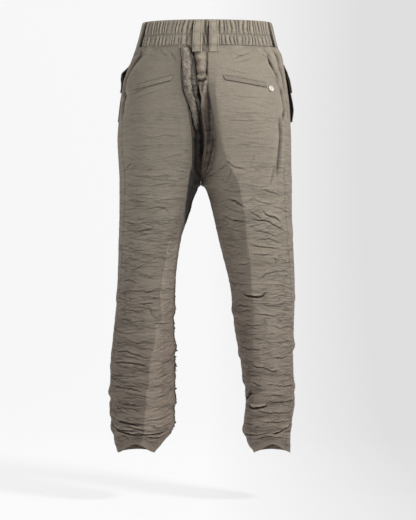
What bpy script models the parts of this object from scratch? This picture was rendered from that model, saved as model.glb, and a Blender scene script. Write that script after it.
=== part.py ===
"""Cargo trousers, held open as if worn: one thin wall of cloth for each cut piece.

The front faces -Y, the wearer's left is +X, up is +Z. The origin is the middle of the
waist opening, halfway up the waistband. Lengths below are millimetres; `drop` is measured
down from the top edge of the waistband and `across` outwards from the middle of the body.
An angle runs round a leg from its outer side (0) over the back (90) to its inner side (180),
and is negative over the front.
"""

import bisect
import collections
import math
import random

import bmesh
import bpy

MM = 0.001

# Driving sizes of the cloth and the seams
CLOTH = 1.4
SEAM_GAP = 0.3
LAID_ON = 0.6
BAND_HEIGHT = 55.0
HEM_DROP = 940.0
CROTCH_DROP = 354.0
GUSSET_END = 346.0
ORIGIN_DROP = BAND_HEIGHT / 2

# The trunk and both legs seen from the side, and how far the rise seam leans to the left
Depth = collections.namedtuple("Depth", "drop back front rise_seam")
DEPTHS = [
    Depth(0, 99, -98, 0),
    Depth(55, 105, -104, 0),
    Depth(72, 110, -107, 0),
    Depth(107, 121, -113, 1),
    Depth(146, 130, -118, 2),
    Depth(190, 134, -120, 4),
    Depth(256, 129, -117, 6),
    Depth(318, 118, -111, 8),
    Depth(362, 111, -107, 9),
    Depth(406, 106, -105, 9),
    Depth(476, 94, -103, 9),
    Depth(586, 76, -98, 9),
    Depth(652, 78, -84, 9),
    Depth(740, 87, -66, 9),
    Depth(828, 88, -60, 9),
    Depth(883, 85, -58, 9),
    Depth(916, 80, -56, 9),
    Depth(940, 74, -54, 9),
]

# Each leg seen from behind, as distances across: its sides, where the back panel starts beside
# the gusset, its pressed crease and its side seam. Above the crotch `inner` is beyond the middle,
# where the ring of this leg would close if it went on through the other one.
Ring = collections.namedtuple("Ring", "drop outer inner edge crease seam")
LEFT_RINGS = [
    Ring(0, 136, -146, 56, 75, 128),
    Ring(55, 151, -160, 56, 75, 136),
    Ring(72, 157, -166, 54, 75, 140),
    Ring(107, 169, -154, 53, 72, 160),
    Ring(146, 179, -122, 50, 66, 171),
    Ring(190, 185.5, -80, 37, 56, 176),
    Ring(256, 191, -30, 28, 48, 179),
    Ring(318, 188, -2, 27, 52, 174),
    Ring(342, 187, 6, 10.5, 58, 172),
    Ring(354, 187, 9, 9, 61, 172),
    Ring(358, 187, 14, 9, 61, 172),
    Ring(366, 187, 17, 9, 62, 172),
    Ring(386, 187, 26, 9, 65, 172),
    Ring(406, 187, 31, 9, 68, 173),
    Ring(476, 189, 53, 9, 81, 177),
    Ring(586, 193, 66, 9, 98, 185),
    Ring(652, 198, 69, 9, 110, 191),
    Ring(740, 206, 67, 9, 121, 199),
    Ring(828, 208, 67, 9, 126, 202),
    Ring(883, 204, 71, 9, 131, 198),
    Ring(916, 198, 91, 9, 136, 191),
    Ring(940, 192, 109, 9, 142, 186),
]
RIGHT_RINGS = [
    Ring(0, 146, -136, 7, 34, 119),
    Ring(55, 160, -151, 7, 34, 127),
    Ring(72, 168, -157, 7, 34, 132),
    Ring(107, 174, -150, 7, 34, 147),
    Ring(146, 180, -120, 8, 34, 160),
    Ring(190, 185, -80, 13, 38, 169),
    Ring(256, 188, -30, 18, 46, 173),
    Ring(318, 189, -18, 7, 60, 170),
    Ring(342, 190, -12, -7.5, 70, 170),
    Ring(354, 190, -9, -9, 74, 171),
    Ring(358, 190, -2, -9, 75, 171),
    Ring(366, 190, 3, -9, 77, 171),
    Ring(406, 190, 15, -9, 85, 173),
    Ring(476, 193, 31, -9, 92, 178),
    Ring(586, 197, 57, -9, 105, 187),
    Ring(652, 195, 63, -9, 113, 187),
    Ring(740, 193, 77, -9, 116, 185),
    Ring(828, 196, 88, -9, 118, 185),
    Ring(883, 188, 83, -9, 111, 178),
    Ring(916, 187, 92, -9, 114, 176),
    Ring(940, 188, 108, -9, 120, 176),
]

# How deep the right seat dips from its crease to the gusset's edge
Dip = collections.namedtuple("Dip", "drop depth")
RIGHT_DIPS = [Dip(60, 0), Dip(100, 3), Dip(146, 6), Dip(190, 8), Dip(256, 9)]
RIGHT_DIPS += [Dip(318, 7), Dip(354, 3), Dip(400, 0)]

# The largest folds of each leg: where its middle is, how far it goes round to each side in
# degrees, how much its outer end is lower than its inner end, and how high and wide it is.
Fold = collections.namedtuple("Fold", "drop angle reach slant height width")
LEFT_FOLDS = [
    Fold(398, 95, 60, 14, 2.6, 16),
    Fold(436, -70, 70, -16, 3.0, 18),
    Fold(500, 60, 70, -18, 2.6, 16),
    Fold(548, -95, 75, 14, 3.4, 17),
    Fold(582, 105, 60, 6, 3.2, 13),
    Fold(612, 40, 60, -14, 3.4, 14),
    Fold(640, 150, 70, 18, 3.6, 13),
    Fold(664, -80, 80, 10, 3.8, 14),
    Fold(690, 70, 75, -12, 3.8, 13),
    Fold(718, 160, 70, 16, 4.0, 13),
    Fold(730, -60, 85, -12, 3.8, 13),
    Fold(752, 60, 80, 10, 4.0, 12),
    Fold(778, -120, 80, 10, 4.0, 12),
    Fold(786, 90, 85, -10, 4.2, 12),
    Fold(812, 20, 80, 12, 4.2, 12),
    Fold(832, 150, 80, -14, 4.2, 12),
    Fold(842, -60, 85, 8, 4.2, 12),
    Fold(862, 60, 90, -12, 4.8, 12),
    Fold(884, 130, 90, 10, 5.0, 12),
    Fold(892, -40, 95, -8, 4.6, 12),
]
RIGHT_FOLDS = [
    Fold(372, 60, 55, 16, 3.0, 17),
    Fold(418, 105, 55, 20, 3.0, 16),
    Fold(450, -80, 70, 14, 3.0, 18),
    Fold(470, 45, 60, -16, 3.0, 16),
    Fold(520, 85, 65, -8, 3.0, 16),
    Fold(560, -100, 75, -14, 3.4, 17),
    Fold(584, 115, 55, 4, 4.2, 13),
    Fold(612, 50, 65, -12, 3.4, 13),
    Fold(640, 150, 60, 14, 3.6, 13),
    Fold(662, -70, 80, 12, 3.8, 14),
    Fold(684, 80, 70, 12, 3.6, 13),
    Fold(712, 20, 75, -12, 3.8, 12),
    Fold(728, 145, 70, -10, 4.0, 12),
    Fold(738, -90, 85, 10, 3.8, 12),
    Fold(762, 70, 75, 10, 4.0, 12),
    Fold(790, 140, 75, 12, 4.4, 12),
    Fold(798, -40, 85, -10, 4.0, 12),
    Fold(822, 75, 80, -6, 4.4, 12),
    Fold(848, 100, 80, 6, 4.4, 12),
    Fold(856, -80, 90, 8, 4.4, 12),
    Fold(882, 70, 90, 10, 4.8, 12),
    Fold(900, -150, 80, -8, 4.4, 12),
]

Leg = collections.namedtuple("Leg", "name side rings folds dips")
LEFT = Leg("left", 1, LEFT_RINGS, LEFT_FOLDS, [Dip(0, 0), Dip(HEM_DROP, 0)])
RIGHT = Leg("right", -1, RIGHT_RINGS, RIGHT_FOLDS, RIGHT_DIPS)

# A pressed crease: its height, how steeply the cloth falls away from it, and how far it does
CREASE_HEIGHT, CREASE_SLOPE, CREASE_REACH = 5.0, 0.26, 50.0
# The hem rides up over the heel, and a little along the whole back
HEM_LIFT, HEM_LIFT_WIDTH, HEM_LIFT_LENGTH = 17.0, 26.0, 60.0
HEM_BACK_LIFT = 9.0


def along(rows, column, drop):
    """The value of a table's column at this drop, on a smooth curve through its rows."""
    drops = [row.drop for row in rows]
    last = len(rows) - 1
    i = min(max(bisect.bisect_right(drops, drop) - 1, 0), last - 1)

    def value(k):
        return getattr(rows[k], column)

    def slope(k):
        return (value(k + 1) - value(k)) / (drops[k + 1] - drops[k])

    def tangent(k):
        if k in (0, last):
            return slope(min(k, last - 1))
        before, after = slope(k - 1), slope(k)
        return 0.0 if before * after <= 0 else 2 * before * after / (before + after)

    span = drops[i + 1] - drops[i]
    t = min(max((drop - drops[i]) / span, 0.0), 1.0)
    start, end = value(i), value(i + 1)
    bend = t * t * (3 - 2 * t)
    return (
        start
        + (end - start) * bend
        + span * t * (1 - t) * ((1 - t) * tangent(i) - t * tangent(i + 1))
    )


def fade(value, full):
    """0 at a value of 0 or less, and 1 from `full` on, with a soft start and end."""
    t = min(max(value / full, 0.0), 1.0)
    return t * t * (3 - 2 * t)


Shape = collections.namedtuple("Shape", "centre width middle back front")


def shape(leg, drop):
    """The leg's ring at this drop: its centre across, half its width, and its depths."""
    outer = along(leg.rings, "outer", drop)
    inner = along(leg.rings, "inner", drop)
    back = along(DEPTHS, "back", drop)
    front = along(DEPTHS, "front", drop)
    middle = (back + front) / 2
    return Shape((outer + inner) / 2, (outer - inner) / 2, middle, back - middle, middle - front)


def angle_at(leg, drop, across):
    """The angle on the leg's back at which its ring is this far across."""
    ring = shape(leg, drop)
    share = (across - ring.centre) / ring.width
    return math.degrees(math.acos(min(max(share, -1.0), 1.0)))


def rise_seam(leg, drop):
    """How far across the seam between the two legs lies, at and above the crotch."""
    return leg.side * along(DEPTHS, "rise_seam", drop)


def turned(angle, other):
    """The difference of two angles, from -180 to 180 degrees."""
    return (angle - other + 180) % 360 - 180


def fold_height(leg, drop, angle):
    """How far the large folds push the cloth out here: a soft ridge over a narrower trough."""
    height = 0.0
    for fold in leg.folds:
        t = turned(angle, fold.angle) / fold.reach
        if abs(t) >= 1:
            continue
        below = drop - (fold.drop - fold.slant * t / 2)
        ridge = math.exp(-(((below + 0.6 * fold.width) / fold.width) ** 2))
        trough = math.exp(-(((below - 0.5 * fold.width) / (0.6 * fold.width)) ** 2))
        height += fold.height * (1 - t * t) ** 2 * (ridge - 0.7 * trough)
    return height


def crease_height(leg, drop, angle):
    """How far the pressed creases stand out, with flatter cloth on both sides of them."""
    ring = shape(leg, drop)
    back_crease = angle_at(leg, drop, along(leg.rings, "crease", drop))
    height = 0.0
    for crease in (back_crease, -90.0):
        arc = abs(math.radians(turned(angle, crease))) * ring.width
        near = min(arc, CREASE_REACH)
        slope = CREASE_SLOPE * (near - near**2 / (2 * CREASE_REACH))
        height += (CREASE_HEIGHT - slope) * (1 - fade(arc - CREASE_REACH, 0.8 * CREASE_REACH))
    return height * fade(drop - 120, 200)


def dip(leg, drop, across):
    """How far the seat has dipped here, from its crease to the gusset."""
    crease = along(leg.rings, "crease", drop)
    edge = along(leg.rings, "edge", drop)
    share = min(max((crease - across) / (crease - edge), 0.0), 1.0)
    return along(leg.dips, "depth", drop) * share**1.2


def skin(leg, drop, angle, out=0.0):
    """A point of the leg's outside, in metres, moved `out` along the ring's own normal."""
    ring = shape(leg, drop)
    turn = math.radians(angle)
    depth = ring.back if angle > 0 else ring.front
    across = ring.centre + ring.width * math.cos(turn)
    ahead = ring.middle + depth * math.sin(turn)
    normal = (math.cos(turn) / ring.width, math.sin(turn) / depth)
    length = math.hypot(*normal)
    relief = crease_height(leg, drop, angle) + fold_height(leg, drop, angle)
    if drop < CROTCH_DROP + 12:
        start = along(leg.rings, "edge", drop) if angle > 0 else rise_seam(leg, drop)
        relief *= fade(across - start, 22) * fade(drop - BAND_HEIGHT, 60)
    if angle > 0:
        relief -= dip(leg, drop, across)
    across += (relief + out) * normal[0] / length
    ahead += (relief + out) * normal[1] / length
    from_heel = math.radians(abs(turned(angle, 90))) * ring.width
    lift = HEM_LIFT * math.exp(-((from_heel / HEM_LIFT_WIDTH) ** 2))
    lift += HEM_BACK_LIFT * max(math.sin(turn), 0.0)
    lift *= fade(drop - (HEM_DROP - HEM_LIFT_LENGTH), HEM_LIFT_LENGTH)
    return (leg.side * across * MM, ahead * MM, (ORIGIN_DROP - drop + lift) * MM)


def seam_turn(leg, drop, angle, gap=SEAM_GAP / 2):
    """The turn in degrees that moves a point of the ring by `gap` along it."""
    ring = shape(leg, drop)
    turn = math.radians(angle)
    depth = ring.back if angle > 0 else ring.front
    speed = math.hypot(ring.width * math.sin(turn), depth * math.cos(turn))
    return math.degrees(gap / speed)


def spread(start, end, count):
    """count + 1 evenly spaced values from start to end."""
    return [start + (end - start) * i / count for i in range(count + 1)]


def material(name, colour, roughness, metallic=0.0):
    """A plain finish; colour is linear red, green and blue."""
    made = bpy.data.materials.new(name)
    made.use_nodes = True
    surface = made.node_tree.nodes["Principled BSDF"]
    surface.inputs["Base Color"].default_value = (*colour, 1.0)
    surface.inputs["Roughness"].default_value = roughness
    surface.inputs["Metallic"].default_value = metallic
    return made


def mesh_object(name, points, faces, finish):
    """A closed mesh with its faces turned outwards, shaded smooth but for its sharp edges."""
    mesh = bpy.data.meshes.new(name)
    mesh.from_pydata(points, [], faces)
    shell = bmesh.new()
    shell.from_mesh(mesh)
    bmesh.ops.recalc_face_normals(shell, faces=shell.faces)
    shell.to_mesh(mesh)
    shell.free()
    mesh.shade_smooth()
    mesh.set_sharp_from_angle(angle=math.radians(50))
    mesh.materials.append(finish)
    made = bpy.data.objects.new(name, mesh)
    bpy.context.collection.objects.link(made)
    return made


def two_triangles(a, b, c, d):
    """A four-sided cell as triangles, always cut along the same diagonal."""
    return [(a, b, c), (a, c, d)]


def wall(name, outside, inside, finish):
    """Cloth between two grids of points with the same rows and columns."""
    rows, columns = len(outside), len(outside[0])
    points = [p for row in outside for p in row] + [p for row in inside for p in row]
    half = rows * columns

    def at(i, j, layer=0):
        return layer * half + i * columns + j

    faces = []
    for layer in (0, 1):
        for i in range(rows - 1):
            for j in range(columns - 1):
                faces += two_triangles(
                    at(i, j, layer),
                    at(i + 1, j, layer),
                    at(i + 1, j + 1, layer),
                    at(i, j + 1, layer),
                )
    for j in range(columns - 1):
        for i in (0, rows - 1):
            faces += two_triangles(at(i, j), at(i, j + 1), at(i, j + 1, 1), at(i, j, 1))
    for i in range(rows - 1):
        for j in (0, columns - 1):
            faces += two_triangles(at(i, j), at(i + 1, j), at(i + 1, j, 1), at(i, j, 1))
    return mesh_object(name, points, faces, finish)


# ---------------------------------------------------------------- the four leg panels

ROW_RUNS = [(BAND_HEIGHT + SEAM_GAP, 312, 15), (312, CROTCH_DROP, 5), (CROTCH_DROP, 366, 2)]
ROW_RUNS += [(366, 652, 14), (652, HEM_DROP, 25)]
BACK_INNER_COLUMNS, BACK_OUTER_COLUMNS = 5, 6
FRONT_COLUMNS = 8


def panel_rows():
    """The drops of a panel's rows: close together at the crotch and in the crumpled lower leg."""
    rows = [ROW_RUNS[0][0]]
    for start, end, count in ROW_RUNS:
        rows += spread(start, end, count)[1:]
    return rows


def back_angles(leg, drop):
    """The columns of a back panel, from the gusset or the inseam over the crease to the side."""
    inner = 180.0 - seam_turn(leg, drop, 180.0)
    if drop <= CROTCH_DROP:
        edge = along(leg.rings, "edge", drop) + SEAM_GAP / 2
        inner = min(inner, angle_at(leg, drop, edge))
    crease = angle_at(leg, drop, along(leg.rings, "crease", drop))
    side = angle_at(leg, drop, along(leg.rings, "seam", drop))
    side += seam_turn(leg, drop, side)
    return (
        spread(inner, crease, BACK_INNER_COLUMNS)[:-1]
        + spread(crease, side, BACK_OUTER_COLUMNS)
    )


def front_angles(leg, drop):
    """The columns of a front panel, from the side seam round the front to the rise or inseam."""
    side = angle_at(leg, drop, along(leg.rings, "seam", drop))
    side -= seam_turn(leg, drop, side)
    inner = 180.0 - seam_turn(leg, drop, 180.0)
    if drop <= CROTCH_DROP:
        seam = rise_seam(leg, drop) + SEAM_GAP / 2
        inner = min(inner, angle_at(leg, drop, seam))
    return spread(side, -inner, FRONT_COLUMNS)


def leg_panel(name, leg, angles, finish):
    """One panel of a leg from the waistband to the hem."""
    outside = [[skin(leg, d, a) for a in angles(leg, d)] for d in panel_rows()]
    inside = [[skin(leg, d, a, -CLOTH) for a in angles(leg, d)] for d in panel_rows()]
    return wall(name, outside, inside, finish)


# ---------------------------------------------------------------- the seat gusset

# Across the gusset from its left edge to its right one: how much of its depth it is sunk in
SUNK = [(0, 0), (0.12, 0.8), (0.25, 1.0), (0.38, 1.15), (0.48, 0.85)]
SUNK += [(0.57, 0.95), (0.72, 0.55), (0.86, 0.25), (1, 0)]
Sink = collections.namedtuple("Sink", "drop depth")
SINKS = [Sink(55, 0), Sink(107, 10), Sink(146, 16), Sink(190, 24), Sink(256, 30)]
SINKS += [Sink(318, 22), Sink(GUSSET_END + 4, 3)]
STRIP_COLUMNS = (1, 4)
STRIP_END = 235.0


def gusset_section(drop, out):
    """One row of points across the gusset, moved out of it along its own section's normal."""
    ends = []
    for leg in (LEFT, RIGHT):
        angle = angle_at(leg, drop, along(leg.rings, "edge", drop) - SEAM_GAP / 2)
        ends.append((skin(leg, drop, angle), skin(leg, drop, angle, out)))
    (left, left_out), (right, right_out) = ends
    depth = along(SINKS, "depth", drop) * MM
    flat = [
        (
            left[0] + (right[0] - left[0]) * share,
            left[1] + (right[1] - left[1]) * share - depth * sunk,
        )
        for share, sunk in SUNK
    ]
    row = [left_out]
    for before, (x, y), after in zip(flat, flat[1:], flat[2:]):
        run, rise = after[0] - before[0], after[1] - before[1]
        length = math.hypot(run, rise)
        row.append((x + rise / length * out * MM, y - run / length * out * MM, left[2]))
    return row + [right_out]


def seat_gusset(finish):
    """The narrow crumpled panel sunk between the two back panels, from waistband to crotch."""
    drops = [d for d in panel_rows() if d < GUSSET_END]
    outside = [gusset_section(d, 0.0) for d in drops]
    inside = [gusset_section(d, -CLOTH) for d in drops]
    return wall("seat_gusset", outside, inside, finish)


def raw_edge_strip(finish):
    """The strip with raw edges sewn on the gusset's left half, made from the gusset's points."""
    drops = [d for d in panel_rows() if d < STRIP_END]
    first, last = STRIP_COLUMNS
    under = [gusset_section(d, LAID_ON)[first : last + 1] for d in drops[1:]]
    over = [gusset_section(d, LAID_ON + CLOTH)[first : last + 1] for d in drops[1:]]
    return wall("raw_edge_strip", over, under, finish)


# ---------------------------------------------------------------- the waistband

BAND_SEAM = 17.0
GATHERS = 48
GATHER_HEIGHT = 1.7
BAND_CLOTH = 2.4
# Down the band: how much of a gather's height shows, and which channel of elastic it is in
BAND_LEVELS = [(0, 0.35, 0), (14, 1.0, 0), (30, 0.15, 0), (42, 0.9, 1), (BAND_HEIGHT, 0.35, 1)]


def trunk(drop, bearing, out=0.0):
    """A point round the hips; the bearing runs from the left side (0) over the back (90)."""
    bearing = turned(bearing, 0)
    if abs(bearing) <= 90:
        return skin(LEFT, drop, bearing, out)
    return skin(RIGHT, drop, turned(180, bearing), out)


def band_strip(name, columns, finish):
    """A part of the waistband; each column is its bearing and its two channels' gather heights."""
    loop_columns = []
    for bearing, heights in columns:
        outer = [
            trunk(drop, bearing, heights[channel] * share)
            for drop, share, channel in BAND_LEVELS
        ]
        inner = [trunk(drop, bearing, -BAND_CLOTH) for drop in (BAND_HEIGHT, 0)]
        loop_columns.append(outer + inner)
    size = len(loop_columns[0])
    points = [p for loop in loop_columns for p in loop]
    faces = []
    for i in range(len(loop_columns) - 1):
        for j in range(size):
            k = (j + 1) % size
            faces += two_triangles(
                i * size + j, i * size + k, (i + 1) * size + k, (i + 1) * size + j
            )
    last = (len(loop_columns) - 1) * size
    faces.append(tuple(range(size)))
    faces.append(tuple(last + j for j in range(size)))
    return mesh_object(name, points, faces, finish)


def waistband_back(finish):
    """The back of the band, drawn in by two channels of elastic into uneven gathers."""
    dice = random.Random(5)
    widths = [1 + 0.3 * dice.uniform(-1, 1) for _ in range(GATHERS)]
    total = sum(widths)
    start, end = BAND_SEAM, 180 - BAND_SEAM
    columns = []
    bearing = start
    for width in widths:
        step = (end - start) * width / total / 4
        upper = GATHER_HEIGHT * dice.uniform(0.7, 1.2)
        lower = GATHER_HEIGHT * dice.uniform(0.6, 1.2)
        shift = dice.choice((0, 1))
        for quarter in range(4):
            wave = (-1, 0, 1, 0)
            heights = (upper * wave[quarter], lower * wave[(quarter + shift) % 4])
            columns.append((bearing + quarter * step, heights))
        bearing += 4 * step
    columns.append((end, (0.0, 0.0)))
    return band_strip("waistband_back", columns, finish)


def waistband_front(name, start, end, finish):
    """One plain half of the band's front, from the side to the middle."""
    columns = [(bearing, (0.0, 0.0)) for bearing in spread(start, end, 12)]
    return band_strip(name, columns, finish)


# ---------------------------------------------------------------- belt loops

LOOP_WIDTH = 20.5
LOOP_CLOTH = 1.8
# Down a loop: how far its inner face stands off a plain band, and off a gathered one
LoopPoint = collections.namedtuple("LoopPoint", "drop plain gathered")
LOOP_PATH = [
    LoopPoint(2, LAID_ON, 1.3),
    LoopPoint(9, 0.9, 2.0),
    LoopPoint(14, 3.6, 5.0),
    LoopPoint(33, 4.2, 5.6),
    LoopPoint(52, 3.6, 5.0),
    LoopPoint(60, 1.0, 1.4),
    LoopPoint(69, LAID_ON, LAID_ON),
]


def belt_loop(name, bearing, band, finish):
    """A doubled strap tacked down above and below, with room for a belt behind it."""
    half = seam_turn(LEFT, ORIGIN_DROP, bearing, LOOP_WIDTH / 2)
    bearings = spread(bearing - half, bearing + half, 4)
    path = [(point.drop, getattr(point, band)) for point in LOOP_PATH]
    under = [[trunk(d, b, out) for b in bearings] for d, out in path]
    over = [[trunk(d, b, out + LOOP_CLOTH) for b in bearings] for d, out in path]
    return wall(name, over, under, finish)


# ---------------------------------------------------------------- patches laid on the panels


def patch(name, leg, drops, angles, outs, thick, finish):
    """Cloth over a stretch of leg: `outs(i, j)` gives the clearance at row i and column j."""
    under, over = [], []
    for i, row in enumerate(drops):
        under.append([skin(leg, row(j), angles[j], outs(i, j)) for j in range(len(angles))])
        over.append(
            [skin(leg, row(j), angles[j], outs(i, j) + thick) for j in range(len(angles))]
        )
    return wall(name, over, under, finish)


Welt = collections.namedtuple("Welt", "inner inner_drop outer outer_drop height")
LEFT_WELT = Welt(70, 126, 148, 144, 12)
RIGHT_WELT = Welt(41, 125, 131, 140, 10)
WELT_CLOTH = 1.2
WELT_COLUMNS = 8


def pocket_welt(name, leg, welt, finish):
    """The slanting lip of a back pocket, across the back panel."""
    acrosses = spread(welt.inner, welt.outer, WELT_COLUMNS)
    middles = spread(welt.inner_drop, welt.outer_drop, WELT_COLUMNS)
    angles = [angle_at(leg, d, a) for d, a in zip(middles, acrosses)]
    edges = spread(-welt.height / 2, welt.height / 2, 2)
    drops = [lambda j, e=e: middles[j] + e for e in edges]
    bulge = (0.0, 0.7, 0.0)
    return patch(name, leg, drops, angles, lambda i, j: LAID_ON + bulge[i], WELT_CLOTH, finish)


FLY_DROP = 215.0
FLY_WIDTH = 40.0


def fly_placket(finish):
    """The stitched-down flap over the zip, on the wearer's left front."""
    drops = spread(BAND_HEIGHT + 1, FLY_DROP, 9)
    rows = []
    for layer in (LAID_ON, LAID_ON + CLOTH):
        grid = []
        for k, d in enumerate(drops):
            narrow = FLY_WIDTH * math.sqrt(max(1 - (k / 9) ** 4, 0.06))
            acrosses = spread(rise_seam(LEFT, d) + 1, rise_seam(LEFT, d) + narrow, 3)
            grid.append([skin(LEFT, d, -angle_at(LEFT, d, a), layer) for a in acrosses])
        rows.append(grid)
    return wall("fly_placket", rows[1], rows[0], finish)


# ---------------------------------------------------------------- the cargo pockets

# A pocket lies on the side of the thigh towards the front. Its back edge and its bottom stand
# off the leg on a black bellows. A gape is how far, at a drop from the pocket's own top.
Gape = collections.namedtuple("Gape", "drop out")
LEFT_GAPES = [Gape(0, 9.5), Gape(11, 7.4), Gape(20, 4.2), Gape(32, 2.2), Gape(104, 2)]
RIGHT_GAPES = [Gape(0, 2.6), Gape(13, 5), Gape(41, 6), Gape(75, 8), Gape(104, 3.5)]
Pocket = collections.namedtuple("Pocket", "top bottom back_angle front_angle gapes")
LEFT_POCKET = Pocket(112, 216, -6, -62, LEFT_GAPES)
RIGHT_POCKET = Pocket(112, 216, -3, -60, RIGHT_GAPES)
POCKET_ROWS, POCKET_COLUMNS = 7, 7
FRONT_EDGE_OUT = 1.0
BELLOWS_INSET = 1.5
BELLOWS_CLEAR = 0.65
FLAP_ABOVE, FLAP_BELOW = 21.0, 40.0
FLAP_CLEAR, FLAP_LIFT = 0.6, 0.8


def pocket_out(pocket, down, round_):
    """The clearance under the pocket's face; both shares run from the top back corner."""
    back = along(pocket.gapes, "out", down * (pocket.bottom - pocket.top))
    return FRONT_EDGE_OUT + (back - FRONT_EDGE_OUT) * (1 - round_) ** 0.8


def cargo_face(name, leg, pocket, finish):
    """The pocket's outer face."""
    angles = spread(pocket.back_angle, pocket.front_angle, POCKET_COLUMNS)
    drops = spread(pocket.top, pocket.bottom, POCKET_ROWS)
    return patch(
        name,
        leg,
        [lambda j, d=d: d for d in drops],
        angles,
        lambda i, j: pocket_out(pocket, i / POCKET_ROWS, j / POCKET_COLUMNS),
        CLOTH,
        finish,
    )


def cargo_bellows(name, leg, pocket, finish):
    """The black fold that joins the face's back edge and bottom to the leg."""
    stops = [(i / POCKET_ROWS, 0.0) for i in range(POCKET_ROWS + 1)]
    stops += [(1.0, j / POCKET_COLUMNS) for j in range(1, POCKET_COLUMNS)]
    sides = []
    for inset in (BELLOWS_INSET, BELLOWS_INSET + CLOTH):
        grid = []
        for down, round_ in stops:
            drop = pocket.top + (pocket.bottom - pocket.top) * down
            drop = min(drop, pocket.bottom - inset)
            back = pocket.back_angle - seam_turn(leg, drop, pocket.back_angle, inset)
            angle = pocket.back_angle + (pocket.front_angle - pocket.back_angle) * round_
            angle = min(angle, back)
            share = (pocket.back_angle - angle) / (pocket.back_angle - pocket.front_angle)
            reach = pocket_out(pocket, down, share) - BELLOWS_CLEAR
            outs = (BELLOWS_CLEAR, (BELLOWS_CLEAR + reach) / 2, reach)
            grid.append([skin(leg, drop, angle, out) for out in outs])
        sides.append(grid)
    return wall(name, *sides, finish)


def cargo_flap(name, leg, pocket, finish):
    """The flap sewn on above the pocket's mouth and hanging over its face."""
    angles = spread(pocket.back_angle + 1.5, pocket.front_angle - 1.5, POCKET_COLUMNS)
    shares = [-FLAP_ABOVE, -FLAP_ABOVE / 2, 0.0, FLAP_BELOW / 2, FLAP_BELOW]

    def over_face(i, j):
        down = max(shares[i], 0.0) / (pocket.bottom - pocket.top)
        face = pocket_out(pocket, down, j / POCKET_COLUMNS) + CLOTH + FLAP_CLEAR
        sewn = fade(shares[i] + FLAP_ABOVE, FLAP_ABOVE)
        return LAID_ON + (face + FLAP_LIFT - LAID_ON) * sewn

    drops = [lambda j, s=s: pocket.top + s for s in shares]
    return patch(name, leg, drops, angles, over_face, CLOTH, finish)


# ---------------------------------------------------------------- buttons and snaps

Disc = collections.namedtuple("Disc", "diameter thick rim")
SNAP = Disc(12.0, 2.6, 0.8)
WAIST_BUTTON = Disc(17.0, 3.4, 0.9)
DISC_SIDES = 20
DISC_CLEAR = 0.4


def disc(name, at, off, facing, size, finish):
    """A round cap with a rounded edge, its flat back `off` metres in front of the point `at`."""
    made = bmesh.new()
    bmesh.ops.create_cone(
        made,
        cap_ends=True,
        segments=DISC_SIDES,
        radius1=size.diameter / 2 * MM,
        radius2=size.diameter / 2 * MM,
        depth=size.thick * MM,
    )
    top = [e for e in made.edges if all(v.co.z > 0 for v in e.verts)]
    bmesh.ops.bevel(made, geom=top, offset=size.rim * MM, segments=2, profile=0.5, affect="EDGES")
    mesh = bpy.data.meshes.new(name)
    made.to_mesh(mesh)
    made.free()
    mesh.shade_smooth()
    mesh.set_sharp_from_angle(angle=math.radians(40))
    mesh.materials.append(finish)
    cap = bpy.data.objects.new(name, mesh)
    bpy.context.collection.objects.link(cap)
    away = off + size.thick / 2 * MM
    cap.location = [p + n * away for p, n in zip(at, facing)]
    tilt = math.atan2(math.hypot(facing[0], facing[1]), facing[2])
    cap.rotation_euler = (0.0, tilt, math.atan2(facing[1], facing[0]))
    return cap


def facing_at(leg, drop, angle):
    """The direction that the leg's surface faces at this point, with its slope up or down."""
    step = 2.0
    turn = 1.0
    here = skin(leg, drop, angle)
    down = [b - a for a, b in zip(here, skin(leg, drop + step, angle))]
    round_ = [b - a for a, b in zip(here, skin(leg, drop, angle + turn))]
    cross = (
        down[1] * round_[2] - down[2] * round_[1],
        down[2] * round_[0] - down[0] * round_[2],
        down[0] * round_[1] - down[1] * round_[0],
    )
    outwards = [b - a for a, b in zip(here, skin(leg, drop, angle, 1.0))]
    length = math.hypot(*cross)
    sign = 1 if sum(a * b for a, b in zip(cross, outwards)) > 0 else -1
    return [sign * c / length for c in cross]


WELT_SNAP_ACROSS, WELT_SNAP_DROP = 140.5, 147.5
FLAP_SNAP_DOWN = 26.0
WAIST_BUTTON_ANGLE = -85.0


def buttons(metal, horn):
    """The snap under the right welt, one on each cargo flap, and the waistband's button."""
    angle = angle_at(RIGHT, WELT_SNAP_DROP, WELT_SNAP_ACROSS)
    spot = skin(RIGHT, WELT_SNAP_DROP, angle)
    facing = facing_at(RIGHT, WELT_SNAP_DROP, angle)
    disc("welt_snap", spot, DISC_CLEAR * MM, facing, SNAP, metal)
    for leg, pocket in ((LEFT, LEFT_POCKET), (RIGHT, RIGHT_POCKET)):
        drop = pocket.top + FLAP_SNAP_DOWN
        angle = (pocket.back_angle + pocket.front_angle) / 2
        face = pocket_out(pocket, FLAP_SNAP_DOWN / (pocket.bottom - pocket.top), 0.5)
        spot = skin(leg, drop, angle, face + 2 * CLOTH + FLAP_CLEAR + FLAP_LIFT)
        name = f"cargo_snap_{leg.name}"
        disc(name, spot, DISC_CLEAR * MM, facing_at(leg, drop, angle), SNAP, metal)
    spot = skin(LEFT, ORIGIN_DROP, WAIST_BUTTON_ANGLE)
    facing = facing_at(LEFT, ORIGIN_DROP, WAIST_BUTTON_ANGLE)
    disc("waist_button", spot, DISC_CLEAR * MM, facing, WAIST_BUTTON, horn)


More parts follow.
